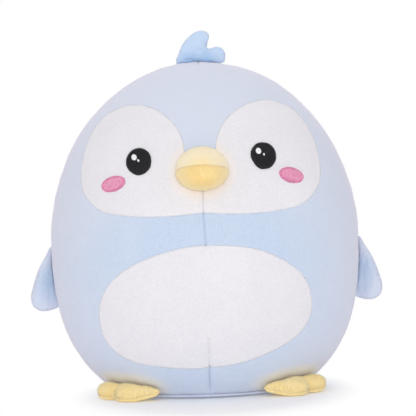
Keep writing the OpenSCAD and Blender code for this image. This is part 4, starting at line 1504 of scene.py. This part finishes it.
pileSeeds = {
    "torso": {node: seed for seed, node in enumerate(panelLook)},
    "beak": {"beak_upper": 21, "beak_lower": 22},
    "limb": {"tuft_front": 31, "tuft_back": 32, "wing_front_left": 42, "wing_back_left": 43,
             "wing_front_right": 40, "wing_back_right": 41},
    "foot": {"foot_top_left": 52, "foot_top_right": 50},
}
for part, seeds in pileSeeds.items():
    for node, seed in seeds.items():
        growPile(node, pileLook[part], seed)
combLook = pileLook["comb"]
comb = stitched("patchComb", ["faceLeft", "faceRight", "belly"], 1.2 * mm, {
    "Pitch": combLook["pitch"] * mm, "Length": combLook["length"] * mm, "Radius": combLook["radius"] * mm,
    "Turn": math.radians(88), "Loose": combLook["loose"], "Uneven": combLook["uneven"], "Segments": 4,
    "Lift": combLook["lift"] * mm, "Seed": 3, "Material": fibre["white"]})
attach(comb, "torso")
print("pile grown")


# stuffing inside each part

stuffingLook = {
    "finest": 0.6 * mm, "cells": 44,                # of the surface, and how many along the longest side
    "lumps": ((0.004, 9), (0.002, 30)),             # depth and closeness, as shares of that side
    # size each way, and the height it shrinks to
    "slack": {"tuft": (0.86, 0.5, 0.86, 0.5), "wing": (0.8, 0.6, 0.88, 0.5),
              "foot": (0.84, 0.84, 0.5, 0.05), "beak": (0.9, 0.9, 0.9, 0.5)},
}


def stuffingMaterial():
    material, tree, shader = plainMaterial("stuffingFibre")
    nap = napOf(tree, (244, 244, 242), (224, 224, 222), (252, 252, 251), 2.2, 18, 0.8)
    feed(tree, shader, {"Base Color": nap["Color"], "Roughness": nap["Roughness"],
                        "Normal": relief(tree, nap["Height"], 0.8, 1.5 * mm), "Sheen Weight": 0.4})
    return material


def makeStuffing():
    look, material = stuffingLook, stuffingMaterial()
    for node in [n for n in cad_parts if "filling" in n]:
        part, label = node.split("_")[0], node.split("_")[-1]
        low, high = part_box(node)
        size = max(high - low)
        carrier = addObject("wad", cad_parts[node].data.copy())
        remesh = carrier.modifiers.new("wad", "REMESH")
        remesh.mode, remesh.voxel_size = "VOXEL", max(look["finest"], size / look["cells"])
        mesh = bakedMesh(carrier)
        for v, n in zip(mesh.vertices, [tuple(v.normal) for v in mesh.vertices]):
            dips = [depth * size * (1 + noise.noise(Vector(v.co) * (close / size)))
                    for depth, close in look["lumps"]]
            v.co -= Vector(n) * sum(dips)
        if part in look["slack"]:       # the wad of a small part lies loosely in it
            *scale, up = look["slack"][part]
            anchor = Vector(((low.x + high.x) / 2, (low.y + high.y) / 2, low.z + (high.z - low.z) * up))
            for v in mesh.vertices:
                v.co = anchor + (v.co - anchor) * Vector(scale)
        mesh.polygons.foreach_set("use_smooth", [True] * len(mesh.polygons))
        mesh.materials.clear()
        mesh.materials.append(material)
        wad = addObject(camelName(node), mesh)
        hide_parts(node)
        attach(wad, {"tuft": "tuft", "wing": "wing_" + label, "foot": "foot_" + label}.get(part, "torso"))


makeStuffing()
print("stuffing made")
